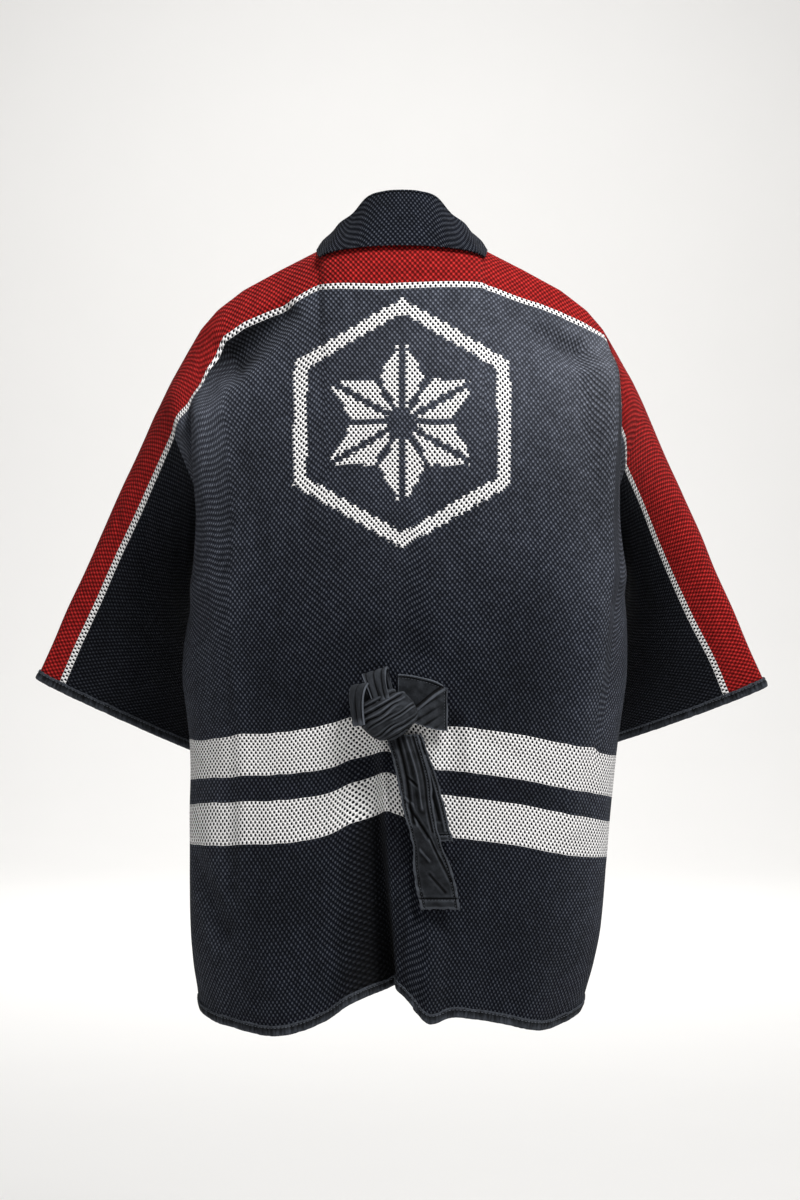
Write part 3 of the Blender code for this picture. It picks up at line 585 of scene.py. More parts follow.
def sleeve_points(side, part, level, facing):
    """Points of a sleeve: part is 0 at the armhole and 1 at the cuff."""
    sleeve = SLEEVES[side]
    part, level = np.broadcast_arrays(np.asarray(part, float), np.asarray(level, float))
    start = armhole_points(side, level, facing)
    angle = (math.pi * level)[..., None]
    top, low = np.array(sleeve.cuff_top), np.array(sleeve.cuff_low)
    axis = unit(top - np.array(sleeve.shoulder))
    face = unit(np.cross(axis, unit(low - top))) * sleeve.side
    turned = face if facing == "front" else -face
    end = top + (low - top) * (1 - np.cos(angle)) / 2 + turned * CUFF_OPENING * np.sin(angle)
    bend = np.array(sleeve.elbow_low) - (np.array(sleeve.underarm) + low) / 2
    along = part[..., None]
    return start + (end - start) * along + bend * 4 * along * (1 - along) * (1 - np.cos(angle)) / 2


def grid_normals(points, closed=False):
    """The unit normal at each point of a grid."""
    if closed:
        points = np.concatenate([points[:, -1:], points, points[:, :1]], axis=1)
    normals = unit(np.cross(np.gradient(points, axis=0), np.gradient(points, axis=1)))
    return normals[:, 1:-1] if closed else normals


def travelled(points, axis):
    """How far each point of a grid is along its row or column."""
    steps = np.linalg.norm(np.diff(points, axis=axis), axis=-1)
    first = np.zeros_like(np.take(steps, [0], axis=axis))
    return np.concatenate([first, np.cumsum(steps, axis=axis)], axis=axis)


class Cloth:
    """A piece of cloth: a grid of outer points, the way out at each, and its places on the cloth."""

    def __init__(self, points, uv, closed=False, flip=False, wall=WALL):
        self.points, self.uv, self.closed, self.flip, self.wall = points, uv, closed, flip, wall
        self.normals = grid_normals(points, closed) * (-1 if flip else 1)
        self.hollow = None

    def rim(self):
        """The row and column of each point that can meet another piece."""
        rows, columns = self.points.shape[:2]
        ends = [(row, column) for row in (0, rows - 1) for column in range(columns)]
        sides = [(row, column) for row in range(1, rows - 1) for column in (0, columns - 1)]
        return ends if self.closed else ends + sides


def outer_cloth(points, uv, out, wall, closed=False, rows=slice(None)):
    """Cloth whose outer side looks the way that is given, as found on some of its rows."""
    cloth = Cloth(points, uv, closed=closed, wall=wall)
    if np.sum(cloth.normals[rows] * out, axis=-1).mean() < 0:
        cloth = Cloth(points, uv, closed=closed, wall=wall, flip=True)
    return cloth


def share_normals(pieces):
    """Where pieces meet at a seam, the walls of a smooth join get the same direction."""
    meeting = {}
    for piece in pieces:
        for row, column in piece.rim():
            key = tuple(np.round(piece.points[row, column], 5))
            meeting.setdefault(key, []).append((piece, row, column))
    for group in meeting.values():
        own = [piece.normals[row, column].copy() for piece, row, column in group]
        for i, (piece, row, column) in enumerate(group):
            alike = [smooth(float(own[i] @ other) / 0.4 + 0.75) for other in own]
            alike[i] = 1.0
            piece.normals[row, column] = unit(sum(a * other for a, other in zip(alike, own)))


# Edges that turn more sharply than this stay crisp.
CRISP_ANGLE = math.radians(60)


def mesh_object(name, points, faces, uv=None, materials=(), slots=None):
    """A finished piece at the origin, with its places on the cloth as a UV map in metres."""
    mesh = bpy.data.meshes.new(name)
    mesh.from_pydata(points.tolist(), [], faces.tolist())
    if uv is not None:
        layer = mesh.uv_layers.new(name="cloth")
        layer.data.foreach_set("uv", np.asarray(uv, np.float32).ravel())
    for material in materials:
        mesh.materials.append(material)
    if slots is not None:
        mesh.polygons.foreach_set("material_index", np.asarray(slots, np.int32))
    mesh.shade_smooth()
    mesh.set_sharp_from_angle(angle=CRISP_ANGLE)
    mesh.update()
    made = bpy.data.objects.new(name, mesh)
    bpy.context.scene.collection.objects.link(made)
    return made


def grid_faces(index, flip):
    """The four corners of each patch of a grid of numbers."""
    corners = [index[:-1, :-1], index[1:, :-1], index[1:, 1:], index[:-1, 1:]]
    return np.stack(corners[::-1] if flip else corners, axis=-1).reshape(-1, 4)


def shell(name, cloth, materials):
    """A wall of cloth: its outer grid, the same grid moved in, and the rim between them."""
    rows, columns = cloth.points.shape[:2]
    count = rows * columns
    inner = cloth.points - cloth.normals * cloth.wall
    points = np.concatenate([cloth.points.reshape(-1, 3), inner.reshape(-1, 3)])
    index = np.arange(count).reshape(rows, columns)
    if cloth.closed:
        index = np.concatenate([index, index[:, :1]], axis=1)
    places = np.arange(cloth.uv.shape[0] * cloth.uv.shape[1]).reshape(cloth.uv.shape[:2])
    outer_faces, outer_places = grid_faces(index, cloth.flip), grid_faces(places, cloth.flip)
    inner_faces, inner_places = grid_faces(index, not cloth.flip) + count, grid_faces(places, not cloth.flip)
    loops = [(index[0, ::-1], places[0, ::-1]), (index[-1], places[-1])]
    if not cloth.closed:
        loops += [(index[:, 0], places[:, 0]), (index[::-1, -1], places[::-1, -1])]
    rim_faces, rim_places = [], []
    for edge, at in loops:
        near, far = (edge[:-1], edge[1:]) if not cloth.flip else (edge[1:], edge[:-1])
        near_at, far_at = (at[:-1], at[1:]) if not cloth.flip else (at[1:], at[:-1])
        rim_faces.append(np.stack([near, near + count, far + count, far], axis=-1))
        rim_places.append(np.stack([near_at, near_at, far_at, far_at], axis=-1))
    faces = np.concatenate([outer_faces, inner_faces] + rim_faces)
    uv = cloth.uv.reshape(-1, 2)[np.concatenate([outer_places, inner_places] + rim_places).ravel()]
    slots = np.zeros(len(faces))
    slots[len(outer_faces):len(outer_faces) + len(inner_faces)] = len(materials) - 1
    made = mesh_object(name, points, faces, uv, materials, slots)
    # The painted shade in the back's folds goes on as a point attribute, the same on both walls.
    if cloth.hollow is not None:
        fold_shades = made.data.attributes.new("hollow", "FLOAT", "POINT")
        fold_shades.data.foreach_set("value", np.tile(cloth.hollow.ravel(), 2).astype(np.float32))
    return made


def join_meshes(parts):
    """Several lots of points and faces as one."""
    points, faces, count = [], [], 0
    for some_points, some_faces in parts:
        points.append(some_points)
        faces.append(some_faces + count)
        count += len(some_points)
    return np.concatenate(points), np.concatenate(faces)


def finish_piece(piece, slot, *nodes):
    """What every piece says of itself: what carries it, and the solid it stands for, which it hides. The slot
    is not used.
    """
    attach(piece, "root")
    if nodes:
        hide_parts(*nodes)


# One stitch: where along it each ring lies, how thick it is and how high, as shares of the stitch.
StitchRing = namedtuple("StitchRing", "place thick lift")
STITCH_PROFILE = (
    StitchRing(-0.50, 0.35, -0.90),
    StitchRing(-0.30, 0.95, 0.25),
    StitchRing(0.00, 1.00, 0.50),
    StitchRing(0.30, 0.95, 0.25),
    StitchRing(0.50, 0.35, -0.90),
)
STITCH_SIDES = 5


def sewing(name, lines, pitch=0.0042, length=0.0029, radius=0.00032):
    """Rows of stitches, each a short thread that dips into the cloth at both ends."""
    parts = []
    turns = np.arange(STITCH_SIDES) * 2 * math.pi / STITCH_SIDES
    for line, ways in lines:
        run = travelled(line[:, None], 0)[:, 0]
        number = int(run[-1] // pitch)
        if number < 1:
            continue
        middles = (np.arange(number) + 0.5) * run[-1] / number
        at = lambda s, values: np.stack([np.interp(s, run, values[:, k]) for k in range(3)], axis=-1)
        along = unit(at(middles + 0.0006, line) - at(middles - 0.0006, line))
        up = unit(at(middles, ways))
        aside = unit(np.cross(along, up))
        centre = at(middles, line)
        rings = []
        for place, thick, lift in STITCH_PROFILE:
            ring = centre + along * place * length + up * lift * radius
            rings.append(np.stack(
                [ring + (up * math.cos(t) + aside * math.sin(t)) * radius * thick for t in turns], axis=1,
            ))
        stitches = np.stack(rings, axis=1)
        index = np.arange(stitches[..., 0].size).reshape(stitches.shape[:3])
        following = np.roll(index, -1, axis=2)
        corners = [index[:, :-1], following[:, :-1], following[:, 1:], index[:, 1:]]
        parts.append((stitches.reshape(-1, 3), np.stack(corners, axis=-1).reshape(-1, 4)))
    points, faces = join_meshes(parts)
    piece = mesh_object(name, points, faces, materials=[sewing_thread()])
    finish_piece(piece, "cloth_binding")


class Value:
    """A number that a node gives. Python's operators on it add Math nodes."""

    def __init__(self, finish, socket):
        self.finish, self.socket = finish, socket

    def math(self, operation, *others):
        inputs = dict(enumerate((self,) + others))
        made = self.finish.node("ShaderNodeMath", {"operation": operation}, inputs)
        return Value(self.finish, made.outputs[0])

    def __add__(self, other):
        return self.math("ADD", other)

    def __sub__(self, other):
        return self.math("SUBTRACT", other)

    def __rsub__(self, other):
        return (self * -1.0).math("ADD", other)

    def __mul__(self, other):
        return self.math("MULTIPLY", other)

    def __truediv__(self, other):
        return self.math("DIVIDE", other)

    def __gt__(self, other):
        return self.math("GREATER_THAN", other)

    def __lt__(self, other):
        return self.math("LESS_THAN", other)

    __radd__ = __add__
    __rmul__ = __mul__

    def least(self, other):
        return self.math("MINIMUM", other)

    def most(self, other):
        return self.math("MAXIMUM", other)

    def ramp(self, low, high):
        """From 0 at low to 1 at high, smoothly."""
        made = self.finish.node(
            "ShaderNodeMapRange", {"interpolation_type": "SMOOTHSTEP"},
            {"Value": self, "From Min": low, "From Max": high, "To Min": 0.0, "To Max": 1.0},
        )
        return Value(self.finish, made.outputs[0])


class Finish:
    """A material in the making."""

    def __init__(self, name, roughness=0.9, sheen=0.02):
        self.material = bpy.data.materials.new(name)
        self.material.use_nodes = True
        self.tree = self.material.node_tree
        self.shader = self.tree.nodes["Principled BSDF"]
        self.shader.inputs["Roughness"].default_value = roughness
        self.shader.inputs["Specular IOR Level"].default_value = 0.06
        self.shader.inputs["Sheen Weight"].default_value = sheen
        self.shader.inputs["Sheen Roughness"].default_value = 0.6

    def node(self, kind, settings=None, inputs=None):
        """A node, with its settings first and then the values or links of its sockets."""
        made = self.tree.nodes.new(kind)
        for key, value in (settings or {}).items():
            setattr(made, key, value)
        for key, value in (inputs or {}).items():
            value = value.socket if isinstance(value, Value) else value
            if isinstance(value, bpy.types.NodeSocket):
                self.tree.links.new(value, made.inputs[key])
            else:
                made.inputs[key].default_value = value
        return made

    def cloth_place(self):
        """Where a point is on the cloth: across it, and down it."""
        place = self.node("ShaderNodeUVMap", {"uv_map": "cloth"})
        parts = self.node("ShaderNodeSeparateXYZ", inputs={0: place.outputs[0]})
        return place.outputs[0], Value(self, parts.outputs[0]), Value(self, parts.outputs[1])

    def object_place(self):
        return self.node("ShaderNodeTexCoord").outputs["Object"]

    def noise(self, place, scale, detail=2.0, roughness=0.5):
        made = self.node(
            "ShaderNodeTexNoise", {"noise_dimensions": "3D"},
            {"Vector": place, "Scale": scale, "Detail": detail, "Roughness": roughness},
        )
        return Value(self, made.outputs[0])

    def blend(self, share, first, second):
        """The first colour where share is 0, and the second where it is 1."""
        as_colour = lambda c: (*c, 1.0) if isinstance(c, tuple) else c
        made = self.node(
            "ShaderNodeMix", {"data_type": "RGBA"}, {0: share, 6: as_colour(first), 7: as_colour(second)},
        )
        return made.outputs[2]

    def scaled(self, colour, factor):
        """A colour made lighter or darker by a number that varies."""
        made = self.node("ShaderNodeVectorMath", {"operation": "SCALE"}, {0: colour, "Scale": factor})
        return made.outputs[0]

    def bump(self, height, distance, strength=1.0, under=None):
        inputs = {"Height": height, "Distance": distance, "Strength": strength}
        if under is not None:
            inputs["Normal"] = under
        return self.node("ShaderNodeBump", inputs=inputs).outputs[0]

    def paint(self, colour, normal=None):
        self.tree.links.new(colour, self.shader.inputs["Base Color"])
        if normal is not None:
            self.tree.links.new(normal, self.shader.inputs["Normal"])
        return self.material


def colours():
    return bpy.context.scene.jacket_colours


def weave(across, down, pitch, row):
    """The stitched weave: how high it stands at each place, and the middle of the nearest stitch."""
    lift = (across * (2 * math.pi / pitch)).math("COSINE") * (down * (math.pi / row)).math("COSINE")
    number = (down / row).math("ROUND")
    odd = number.math("FLOORED_MODULO", 2.0) * 0.5
    column = (across / pitch - odd).math("ROUND") + odd
    return lift, column * pitch, number * row


def badge_mask(x, up):
    """A hemp-leaf star in a six-sided frame, from its middle: 1 where the cloth is white."""
    sizes = bpy.context.scene.jacket_weave
    side, rise = x.math("ABSOLUTE"), up.math("ABSOLUTE")
    reach = side.most(side * 0.5 + rise * (math.sqrt(3) / 2))
    frame_mask = (reach < sizes.badge_reach) * (reach > sizes.badge_reach - sizes.badge_frame)
    from_middle = (x * x + up * up).math("SQRT")
    turn = x.math("ARCTAN2", up)
    sixth = math.pi / 3
    away = ((turn + sixth / 2).math("FLOORED_MODULO", sixth) - sixth / 2).math("ABSOLUTE")
    along, beside = from_middle * away.math("COSINE"), from_middle * away.math("SINE")
    half_vein = sizes.leaf_vein / 2
    in_leaf = ((sizes.leaf_reach - along) * 0.5 - beside * (math.sqrt(3) / 2)) > 0.0
    off_vein = beside > half_vein
    off_side = (from_middle * (away * -1.0 + sixth / 2).math("SINE")) > half_vein
    return frame_mask.most(in_leaf * off_vein * off_side)


def woven_cloth(name, light=0.72, fade=0.0, fine=1.0, red_band=False, stripes=False, badge=False):
    """The stitched cotton, with the red band, white line, stripes and badge where they are dyed."""
    sizes, dyes = bpy.context.scene.jacket_weave, colours()
    finish = Finish(name)
    place, across, down = finish.cloth_place()
    drift_across = (finish.noise(place, 38.0, 1.0) - 0.5) * 0.0008
    drift_down = (finish.noise(place, 31.0, 1.0) - 0.5) * 0.0006
    pitch, row = sizes.stitch_pitch * fine, sizes.row_pitch * fine
    lift, stitch_across, stitch_down = weave(across + drift_across, down + drift_down, pitch, row)
    stitch = finish.node("ShaderNodeCombineXYZ", inputs={0: stitch_across, 1: stitch_down})
    speck = finish.node("ShaderNodeTexWhiteNoise", {"noise_dimensions": "2D"}, {"Vector": stitch.outputs[0]})
    each = Value(finish, speck.outputs[0])
    fuzz = finish.noise(place, 900.0, 2.0)
    stands = (lift + (fuzz - 0.5) * 0.6).ramp(-0.15, 1.0)
    colour = finish.blend(stands, tuple(dyes.navy), tuple(dyes.navy_stitch))
    cloudy = finish.noise(place, 6.0, 3.0, 0.6) * 1.2 + finish.noise(place, 45.0, 2.0) * 0.4
    at = finish.node("ShaderNodeSeparateXYZ", inputs={0: finish.object_place()})
    x_place, height = Value(finish, at.outputs["X"]), Value(finish, at.outputs["Z"])
    # Paler and greyer towards the top of the back, more on its right, and at its sides: partly the cloth's
    # own fading, partly painted light where the key light falls from above on the right.
    at_side = x_place.math("ABSOLUTE").ramp(0.15, 0.25) * 0.50
    faded_and_lit = (height.ramp(-0.52, -0.10) * (x_place.ramp(-0.16, 0.18) * 0.45 + 0.65) + at_side) * fade
    colour = finish.blend((faded_and_lit * 0.2).least(0.5), colour, (0.038, 0.039, 0.043))
    # Painted shade inside the back's folds, read from the point attribute that its grid carries.
    hollow = Value(finish, finish.node("ShaderNodeAttribute", {"attribute_name": "hollow"}).outputs["Fac"])
    # Random tone by stitch and in clouds, the paling worked out above, the light level (lower on the sleeves:
    # painted shade), and painted shade in the back's folds.
    shade = (each * 0.45 + 0.78) * (cloudy * 1.1 + 0.14) * (faded_and_lit + light) * (1 - hollow * 0.90)
    colour = finish.scaled(colour, shade)
    if red_band:
        from_fold = stitch_down.math("ABSOLUTE")
        in_red = from_fold < sizes.red_width
        white_mask = (from_fold < sizes.red_width + sizes.line_width) * (1 - in_red)
        if stripes:
            from_hem = PANEL_LENGTH - from_fold
            for number in range(2):
                low = sizes.stripe_height + number * (sizes.stripe_width + sizes.stripe_gap)
                white_mask = white_mask.most((from_hem > low) * (from_hem < low + sizes.stripe_width))
        if badge:
            x = x_place + (stitch_across - across)
            up = height - (stitch_down - down) - sizes.badge_height
            white_mask = white_mask.most(badge_mask(x, up) * (1 - in_red))
        red_stands = (lift + (fuzz - 0.5) * 0.5).ramp(-0.45, 0.85)
        red = finish.blend(red_stands, tuple(dyes.red), tuple(dyes.red_stitch))
        red = finish.scaled(red, (each * 0.35 + 0.78) * (cloudy * 0.3 + 0.76))
        white_stands = (lift + (fuzz - 0.5) * 0.25).ramp(-0.30, -0.04)
        white = finish.blend(white_stands, tuple(c * 0.6 for c in dyes.navy), tuple(dyes.white))
        white = finish.scaled(white, each * 0.08 + 0.95)
        colour = finish.blend(white_mask, finish.blend(in_red, colour, red), white)
    relief = lift * 0.5 + fuzz * 0.25
    return finish.paint(colour, finish.bump(relief, 0.0020 * fine))


# From one thread of the plain cotton to the next.
THREAD_PITCH = 0.0009


def plain_cloth(name, colour, wear=0.0, gathers=0.0):
    """Plain woven cotton, for the bindings and the tie, with drawn-up gathers that painted light and shade
    run across, painted shade in its creases, and lighter edges that are partly worn and partly painted
    highlight.
    """
    finish = Finish(name, roughness=0.85)
    place, across, down = finish.cloth_place()
    turns = 2 * math.pi / THREAD_PITCH
    cross = (across * turns).math("SINE") * (down * turns).math("SINE")
    fuzz = finish.noise(place, 700.0, 2.0)
    cloudy = finish.noise(place, 70.0, 3.0, 0.65).ramp(0.25, 0.75)
    shade = (cloudy * 0.9 + 0.45) * (fuzz * 0.5 + 0.75)
    # The gathers go lighter and darker across: painted light and shade.
    along = finish.node("ShaderNodeCombineXYZ", inputs={0: across, 1: down * 0.12})
    drawn = finish.noise(along.outputs[0], 360.0, 1.5)
    shade = shade * ((drawn.ramp(0.30, 0.70) - 0.5) * (1.2 * gathers) + 1.0)
    base = finish.scaled(colour, shade)
    # Painted shade in the hollows of creases, from the surface's pointiness, and lighter ridges: partly worn
    # cloth, partly painted highlight.
    ridge = Value(finish, finish.node("ShaderNodeNewGeometry").outputs["Pointiness"])
    base = finish.scaled(base, ridge.ramp(0.465, 0.535) * 0.92 + 0.08)
    base = finish.blend(ridge.ramp(0.505, 0.55) * wear, base, tuple(min(1.0, c * 3.6) for c in colour))
    rumple = finish.bump(finish.noise(place, 160.0, 3.0, 0.6), 0.0016, 0.7)
    if gathers:
        rumple = finish.bump(drawn, 0.0024 * gathers, 0.9, under=rumple)
    return finish.paint(base, finish.bump(cross * 0.4 + fuzz * 0.5, 0.00035, under=rumple))


def panel_columns():
    """How far across the back its columns lie, closer together at the neck."""
    neck = np.linspace(-NECK_HALF_WIDTH, NECK_HALF_WIDTH, 67)
    wide = np.linspace(NECK_HALF_WIDTH, PANEL_HALF_WIDTH, 48)[1:]
    return np.concatenate([-wide[::-1], neck, wide])


UPPER_LEVELS = np.linspace(0, 1, 54) ** 1.6
LEVELS = np.concatenate([UPPER_LEVELS, 1 + np.linspace(0, 1, 119)[1:]])
COLUMNS = panel_columns()
SLEEVE_PARTS = np.linspace(0, 1, 86)
# A fold that goes in by this much gets the full painted shade inside it.
FOLD_SHADE_DEPTH = 0.045


def body_cloth(facing, side=None):
    """The back or a front as a fine grid, with its places on the cloth."""
    columns = COLUMNS
    if facing == "front":
        sign = SLEEVES[side].side
        columns = COLUMNS[COLUMNS * sign >= NECK_HALF_WIDTH - 1e-6]
    points = body_points(columns[None, :], LEVELS[:, None], facing)
    run = travelled(points, 0)
    turned = straight(SHOULDER_TURNS, "turned", columns, "across")
    seen_from, share = columns, 1.0
    if facing == "front":
        calm = straight(FRONT_TURNS, "turned", columns, "across")
        turned = -(calm + (turned - calm) * (1 - smooth(run / FRONT_TURN_REACH)))
        seen_from = np.copysign(PANEL_HALF_WIDTH, columns)
        share = smooth((np.abs(columns) - FRONT_PULLS_FROM) / FRONT_PULLS_GROW)
    slack = PANEL_LENGTH - run[-1] + turned
    down = run - turned + slack * smooth((run / run[-1] - SLACK[0]) / (SLACK[1] - SLACK[0]))
    from_hem = PANEL_LENGTH - down
    for stripe, heights in PULL_HEIGHTS.items():
        pull = straight(STRIPE_PULLS, stripe, seen_from, "across") * share
        down = down + pull * np.interp(from_hem, heights, (0, 1, 0))
    across = np.broadcast_to(columns * WIDTH_SCALE, down.shape)
    cloth = Cloth(points, np.stack([across, down], axis=-1), flip=facing == "front")
    # The back carries painted shade as a share at each point: darkest where its folds go deepest, and in the
    # places that BACK_SHADES lists.
    if facing == "back":
        folded = fold_shift(BACK_FOLDS, np.broadcast_to(columns, down.shape), points[..., 2])[0]
        dark = fold_shift(BACK_SHADES, np.broadcast_to(columns, down.shape), points[..., 2])[0]
        cloth.hollow = np.clip(np.maximum(smooth(-folded / FOLD_SHADE_DEPTH), -dark), 0, 1)
    return cloth


def sleeve_cloth(side):
    """A sleeve as a closed grid that starts under the arm, goes over the top and comes back."""
    sleeve = SLEEVES[side]
    front = sleeve_points(side, SLEEVE_PARTS[:, None], UPPER_LEVELS[None, ::-1], "front")
    back = sleeve_points(side, SLEEVE_PARTS[:, None], UPPER_LEVELS[None, :], "back")
    round_front, round_back = travelled(front[:, ::-1], 1)[:, ::-1], travelled(back, 1)
    turned = read(SLEEVE_TURNS[side], "turned", SLEEVE_PARTS, "part")[:, None]
    down = np.concatenate([-round_front, round_back[:, 1:]], axis=1) - turned
    points = np.concatenate([front, back[:, 1:-1]], axis=1)
    length = math.dist(sleeve.shoulder, sleeve.cuff_top)
    across = sleeve.side * (PANEL_HALF_WIDTH * WIDTH_SCALE + SLEEVE_PARTS[:, None] * length) + 0 * down
    cloth = Cloth(points, np.stack([across, down], axis=-1), closed=True, flip=side == "right")
    signed, parts = down[:, :-1], SLEEVE_PARTS[:, None] + 0 * down[:, :-1]
    out = np.zeros_like(signed)
    for crease in SLEEVE_CREASES[side]:
        run = ((crease.end - crease.start) * length, crease.end_down - crease.start_down)
        start = ((parts - crease.start) * length, signed - crease.start_down)
        share, off_line = along_line(start, run)
        fade = np.sin(np.pi * np.clip(share, 0.02, 0.98))
        out -= crease.depth * fade * trough(off_line / crease.width)
    out += 0.0011 * waver(signed, parts * length, 0.05, 11 + sleeve.side)
    ends = smooth(parts / 0.06)
    cloth.points = cloth.points + cloth.normals * (out * ends)[..., None]
    cloth.normals = grid_normals(cloth.points, True) * (-1 if cloth.flip else 1)
    return cloth


PANELS = {}


def panels():
    """The five panels' grids, worked out once, with their seams' walls in line."""
    if not PANELS:
        PANELS["back"] = body_cloth("back")
        for side in ("left", "right"):
            PANELS["front_" + side] = body_cloth("front", side)
            PANELS["sleeve_" + side] = sleeve_cloth(side)
        share_normals(list(PANELS.values()))
    return PANELS


def material_once(name, make, *given, **named):
    found = bpy.data.materials.get(name)
    return found if found is not None else make(name, *given, **named)


def inside_cloth():
    return material_once("inside_cloth", woven_cloth, light=0.7, fine=0.7)


class JACKET_OT_stage(bpy.types.Operator):
    """Sets up the floor, the backdrop, the lights and the camera"""

    bl_idname = "jacket.stage"
    bl_label = "Stage"

    def execute(self, context):
        stage = context.scene.jacket_stage
        floor = CAD_BOX[0][2] - stage.floor_drop
        curve = np.linspace(0.1, math.pi / 2, 18)
        profile = [(-FLOOR_REACH, 0.0), (WALL_FOOT, 0.0)]
        profile += [(WALL_FOOT + WALL_CURVE * math.sin(a), WALL_CURVE * (1 - math.cos(a))) for a in curve]
        profile += [(WALL_FOOT + WALL_CURVE, WALL_TOP)]
        rows = np.array([[(x, y, floor + z) for x in (-FLOOR_REACH, FLOOR_REACH)] for y, z in profile])
        index = np.arange(len(profile) * 2).reshape(-1, 2)
        finish = Finish("backdrop_paper", roughness=1.0, sheen=0.0)
        grain = finish.noise(finish.object_place(), 3.0, 2.0) * 0.02 + 0.99
        paper = finish.paint(finish.scaled(tuple(stage.backdrop), grain))
        backdrop = mesh_object("backdrop", rows.reshape(-1, 3), grid_faces(index, True), materials=[paper])
        for lamp in LAMPS:
            self.light(lamp, getattr(stage, lamp.power))
        world = bpy.data.worlds.new("room")
        context.scene.world = world
        world.use_nodes = True
        background = world.node_tree.nodes["Background"]
        background.inputs[0].default_value = (1.0, 1.0, 1.0, 1.0)
        background.inputs[1].default_value = stage.room_light
        context.scene.view_settings.view_transform = "Standard"
        camera = bpy.data.objects.new("camera", bpy.data.cameras.new("camera"))
        camera.data.sensor_fit = "VERTICAL"
        camera.data.sensor_height = SENSOR_HEIGHT_MM
        camera.data.lens = SENSOR_HEIGHT_MM * CAMERA_DISTANCE / (FRAME_HEIGHT * PIXEL)
        camera.location = CAMERA_PLACE
        camera.rotation_euler = (math.radians(90), 0, 0)
        context.scene.collection.objects.link(camera)
        context.scene.camera = camera
        return {"FINISHED"}

    def light(self, lamp, power):
        bulb = bpy.data.lights.new(lamp.name, "AREA")
        bulb.energy, bulb.size = power, lamp.size
        made = bpy.data.objects.new(lamp.name, bulb)
        made.location = lamp.place
        aim = Vector(lamp.aimed_at) - Vector(lamp.place)
        made.rotation_euler = aim.to_track_quat("-Z", "Y").to_euler()
        bpy.context.scene.collection.objects.link(made)


class JACKET_OT_back(bpy.types.Operator):
    """Makes the back panel, with the badge, the red band and the stripes"""

    bl_idname = "jacket.back"
    bl_label = "Back"

    def execute(self, context):
        # fade sets how much paler the back goes towards its top, right and sides: partly fading, partly
        # painted light.
        outside = woven_cloth("back_cloth", fade=1.60, red_band=True, stripes=True, badge=True)
        piece = shell("jacket_back", panels()["back"], [outside, inside_cloth()])
        finish_piece(piece, "cloth_body", "back")
        return {"FINISHED"}


class JACKET_OT_fronts(bpy.types.Operator):
    """Makes the two fronts"""

    bl_idname = "jacket.fronts"
    bl_label = "Fronts"

    def execute(self, context):
        for side in ("left", "right"):
            outside = material_once("front_cloth", woven_cloth, red_band=True, stripes=True)
            piece = shell("jacket_front_" + side, panels()["front_" + side], [outside, inside_cloth()])
            finish_piece(piece, "cloth_body", "front_" + side)
        return {"FINISHED"}


class JACKET_OT_sleeves(bpy.types.Operator):
    """Makes the two sleeves"""

    bl_idname = "jacket.sleeves"
    bl_label = "Sleeves"

    def execute(self, context):
        for side in ("left", "right"):
            cloth = panels()["sleeve_" + side]
            # The sleeves' cloth is made darker than the body's with a lower light: painted shade.
            outside = material_once("sleeve_cloth", woven_cloth, light=0.42, red_band=True)
            piece = shell("jacket_sleeve_" + side, cloth, [outside, inside_cloth()])
            finish_piece(piece, "cloth_body", "sleeve_" + side)
        return {"FINISHED"}


def smooth_path(points, count):
    """A smooth curve through the points of each row of a grid."""
    before, after = 2 * points[:, :1] - points[:, 1:2], 2 * points[:, -1:] - points[:, -2:-1]
    padded = np.concatenate([before, points, after], axis=1)
    at = np.linspace(0, points.shape[1] - 1, count)
    left = np.minimum(at.astype(int), points.shape[1] - 2)
    t = (at - left)[None, :, None]
    a, b, c, d = (padded[:, left + k] for k in range(4))
    return 0.5 * (
        2 * b + (c - a) * t + (2 * a - 5 * b + 4 * c - d) * t ** 2 + (3 * b - a - 3 * c + d) * t ** 3
    )


def collar_section(seam, normal, inward, place, side, edge):
    """One section of the collar: up from its seam, over its fold and down to its free edge."""
    shift = [float(read(COLLAR_FOLD, column, place, "place")) for column in ("out", "forward", "rise")]
    near = seam + np.array((shift[0] * side, shift[1], shift[2]))
    far = seam + inward * COLLAR_BAND_WIDTH + normal * COLLAR_CROWN
    part = float(smooth(place / COLLAR_FRONT_FROM))
    fold = near + (far - near) * part
    inside = seam - normal * WALL * part + np.array((0, WALL, COLLAR_LIFT)) * (1 - part)
    up = unit(fold - inside)
    across = edge - inside
    aside = unit(across - up * float(across @ up)) * COLLAR_CROWN
    turn_in, turn_out = fold - aside - up * COLLAR_CROWN, fold + aside - up * COLLAR_CROWN
    corner = 0.35 * float(1 - smooth(abs(place) / (0.3 if place < 0 else 0.08)))
    to_side, drop = aside * 0.7, up * COLLAR_CROWN * 0.3
    return [
        inside, (inside + turn_in) / 2, turn_in, fold - to_side - drop, fold, fold + to_side - drop,
        turn_out, (turn_out + edge) / 2 + aside * (0.4 + corner), edge,
    ]


# The collar's soft turn over each shoulder: how far along it reaches, how much it blends and lifts.
TURN_REACH = 0.045
TURN_BLEND = 0.009
TURN_LIFT = (0, 0, 0.0012)
LEAST_BLEND = 0.0002


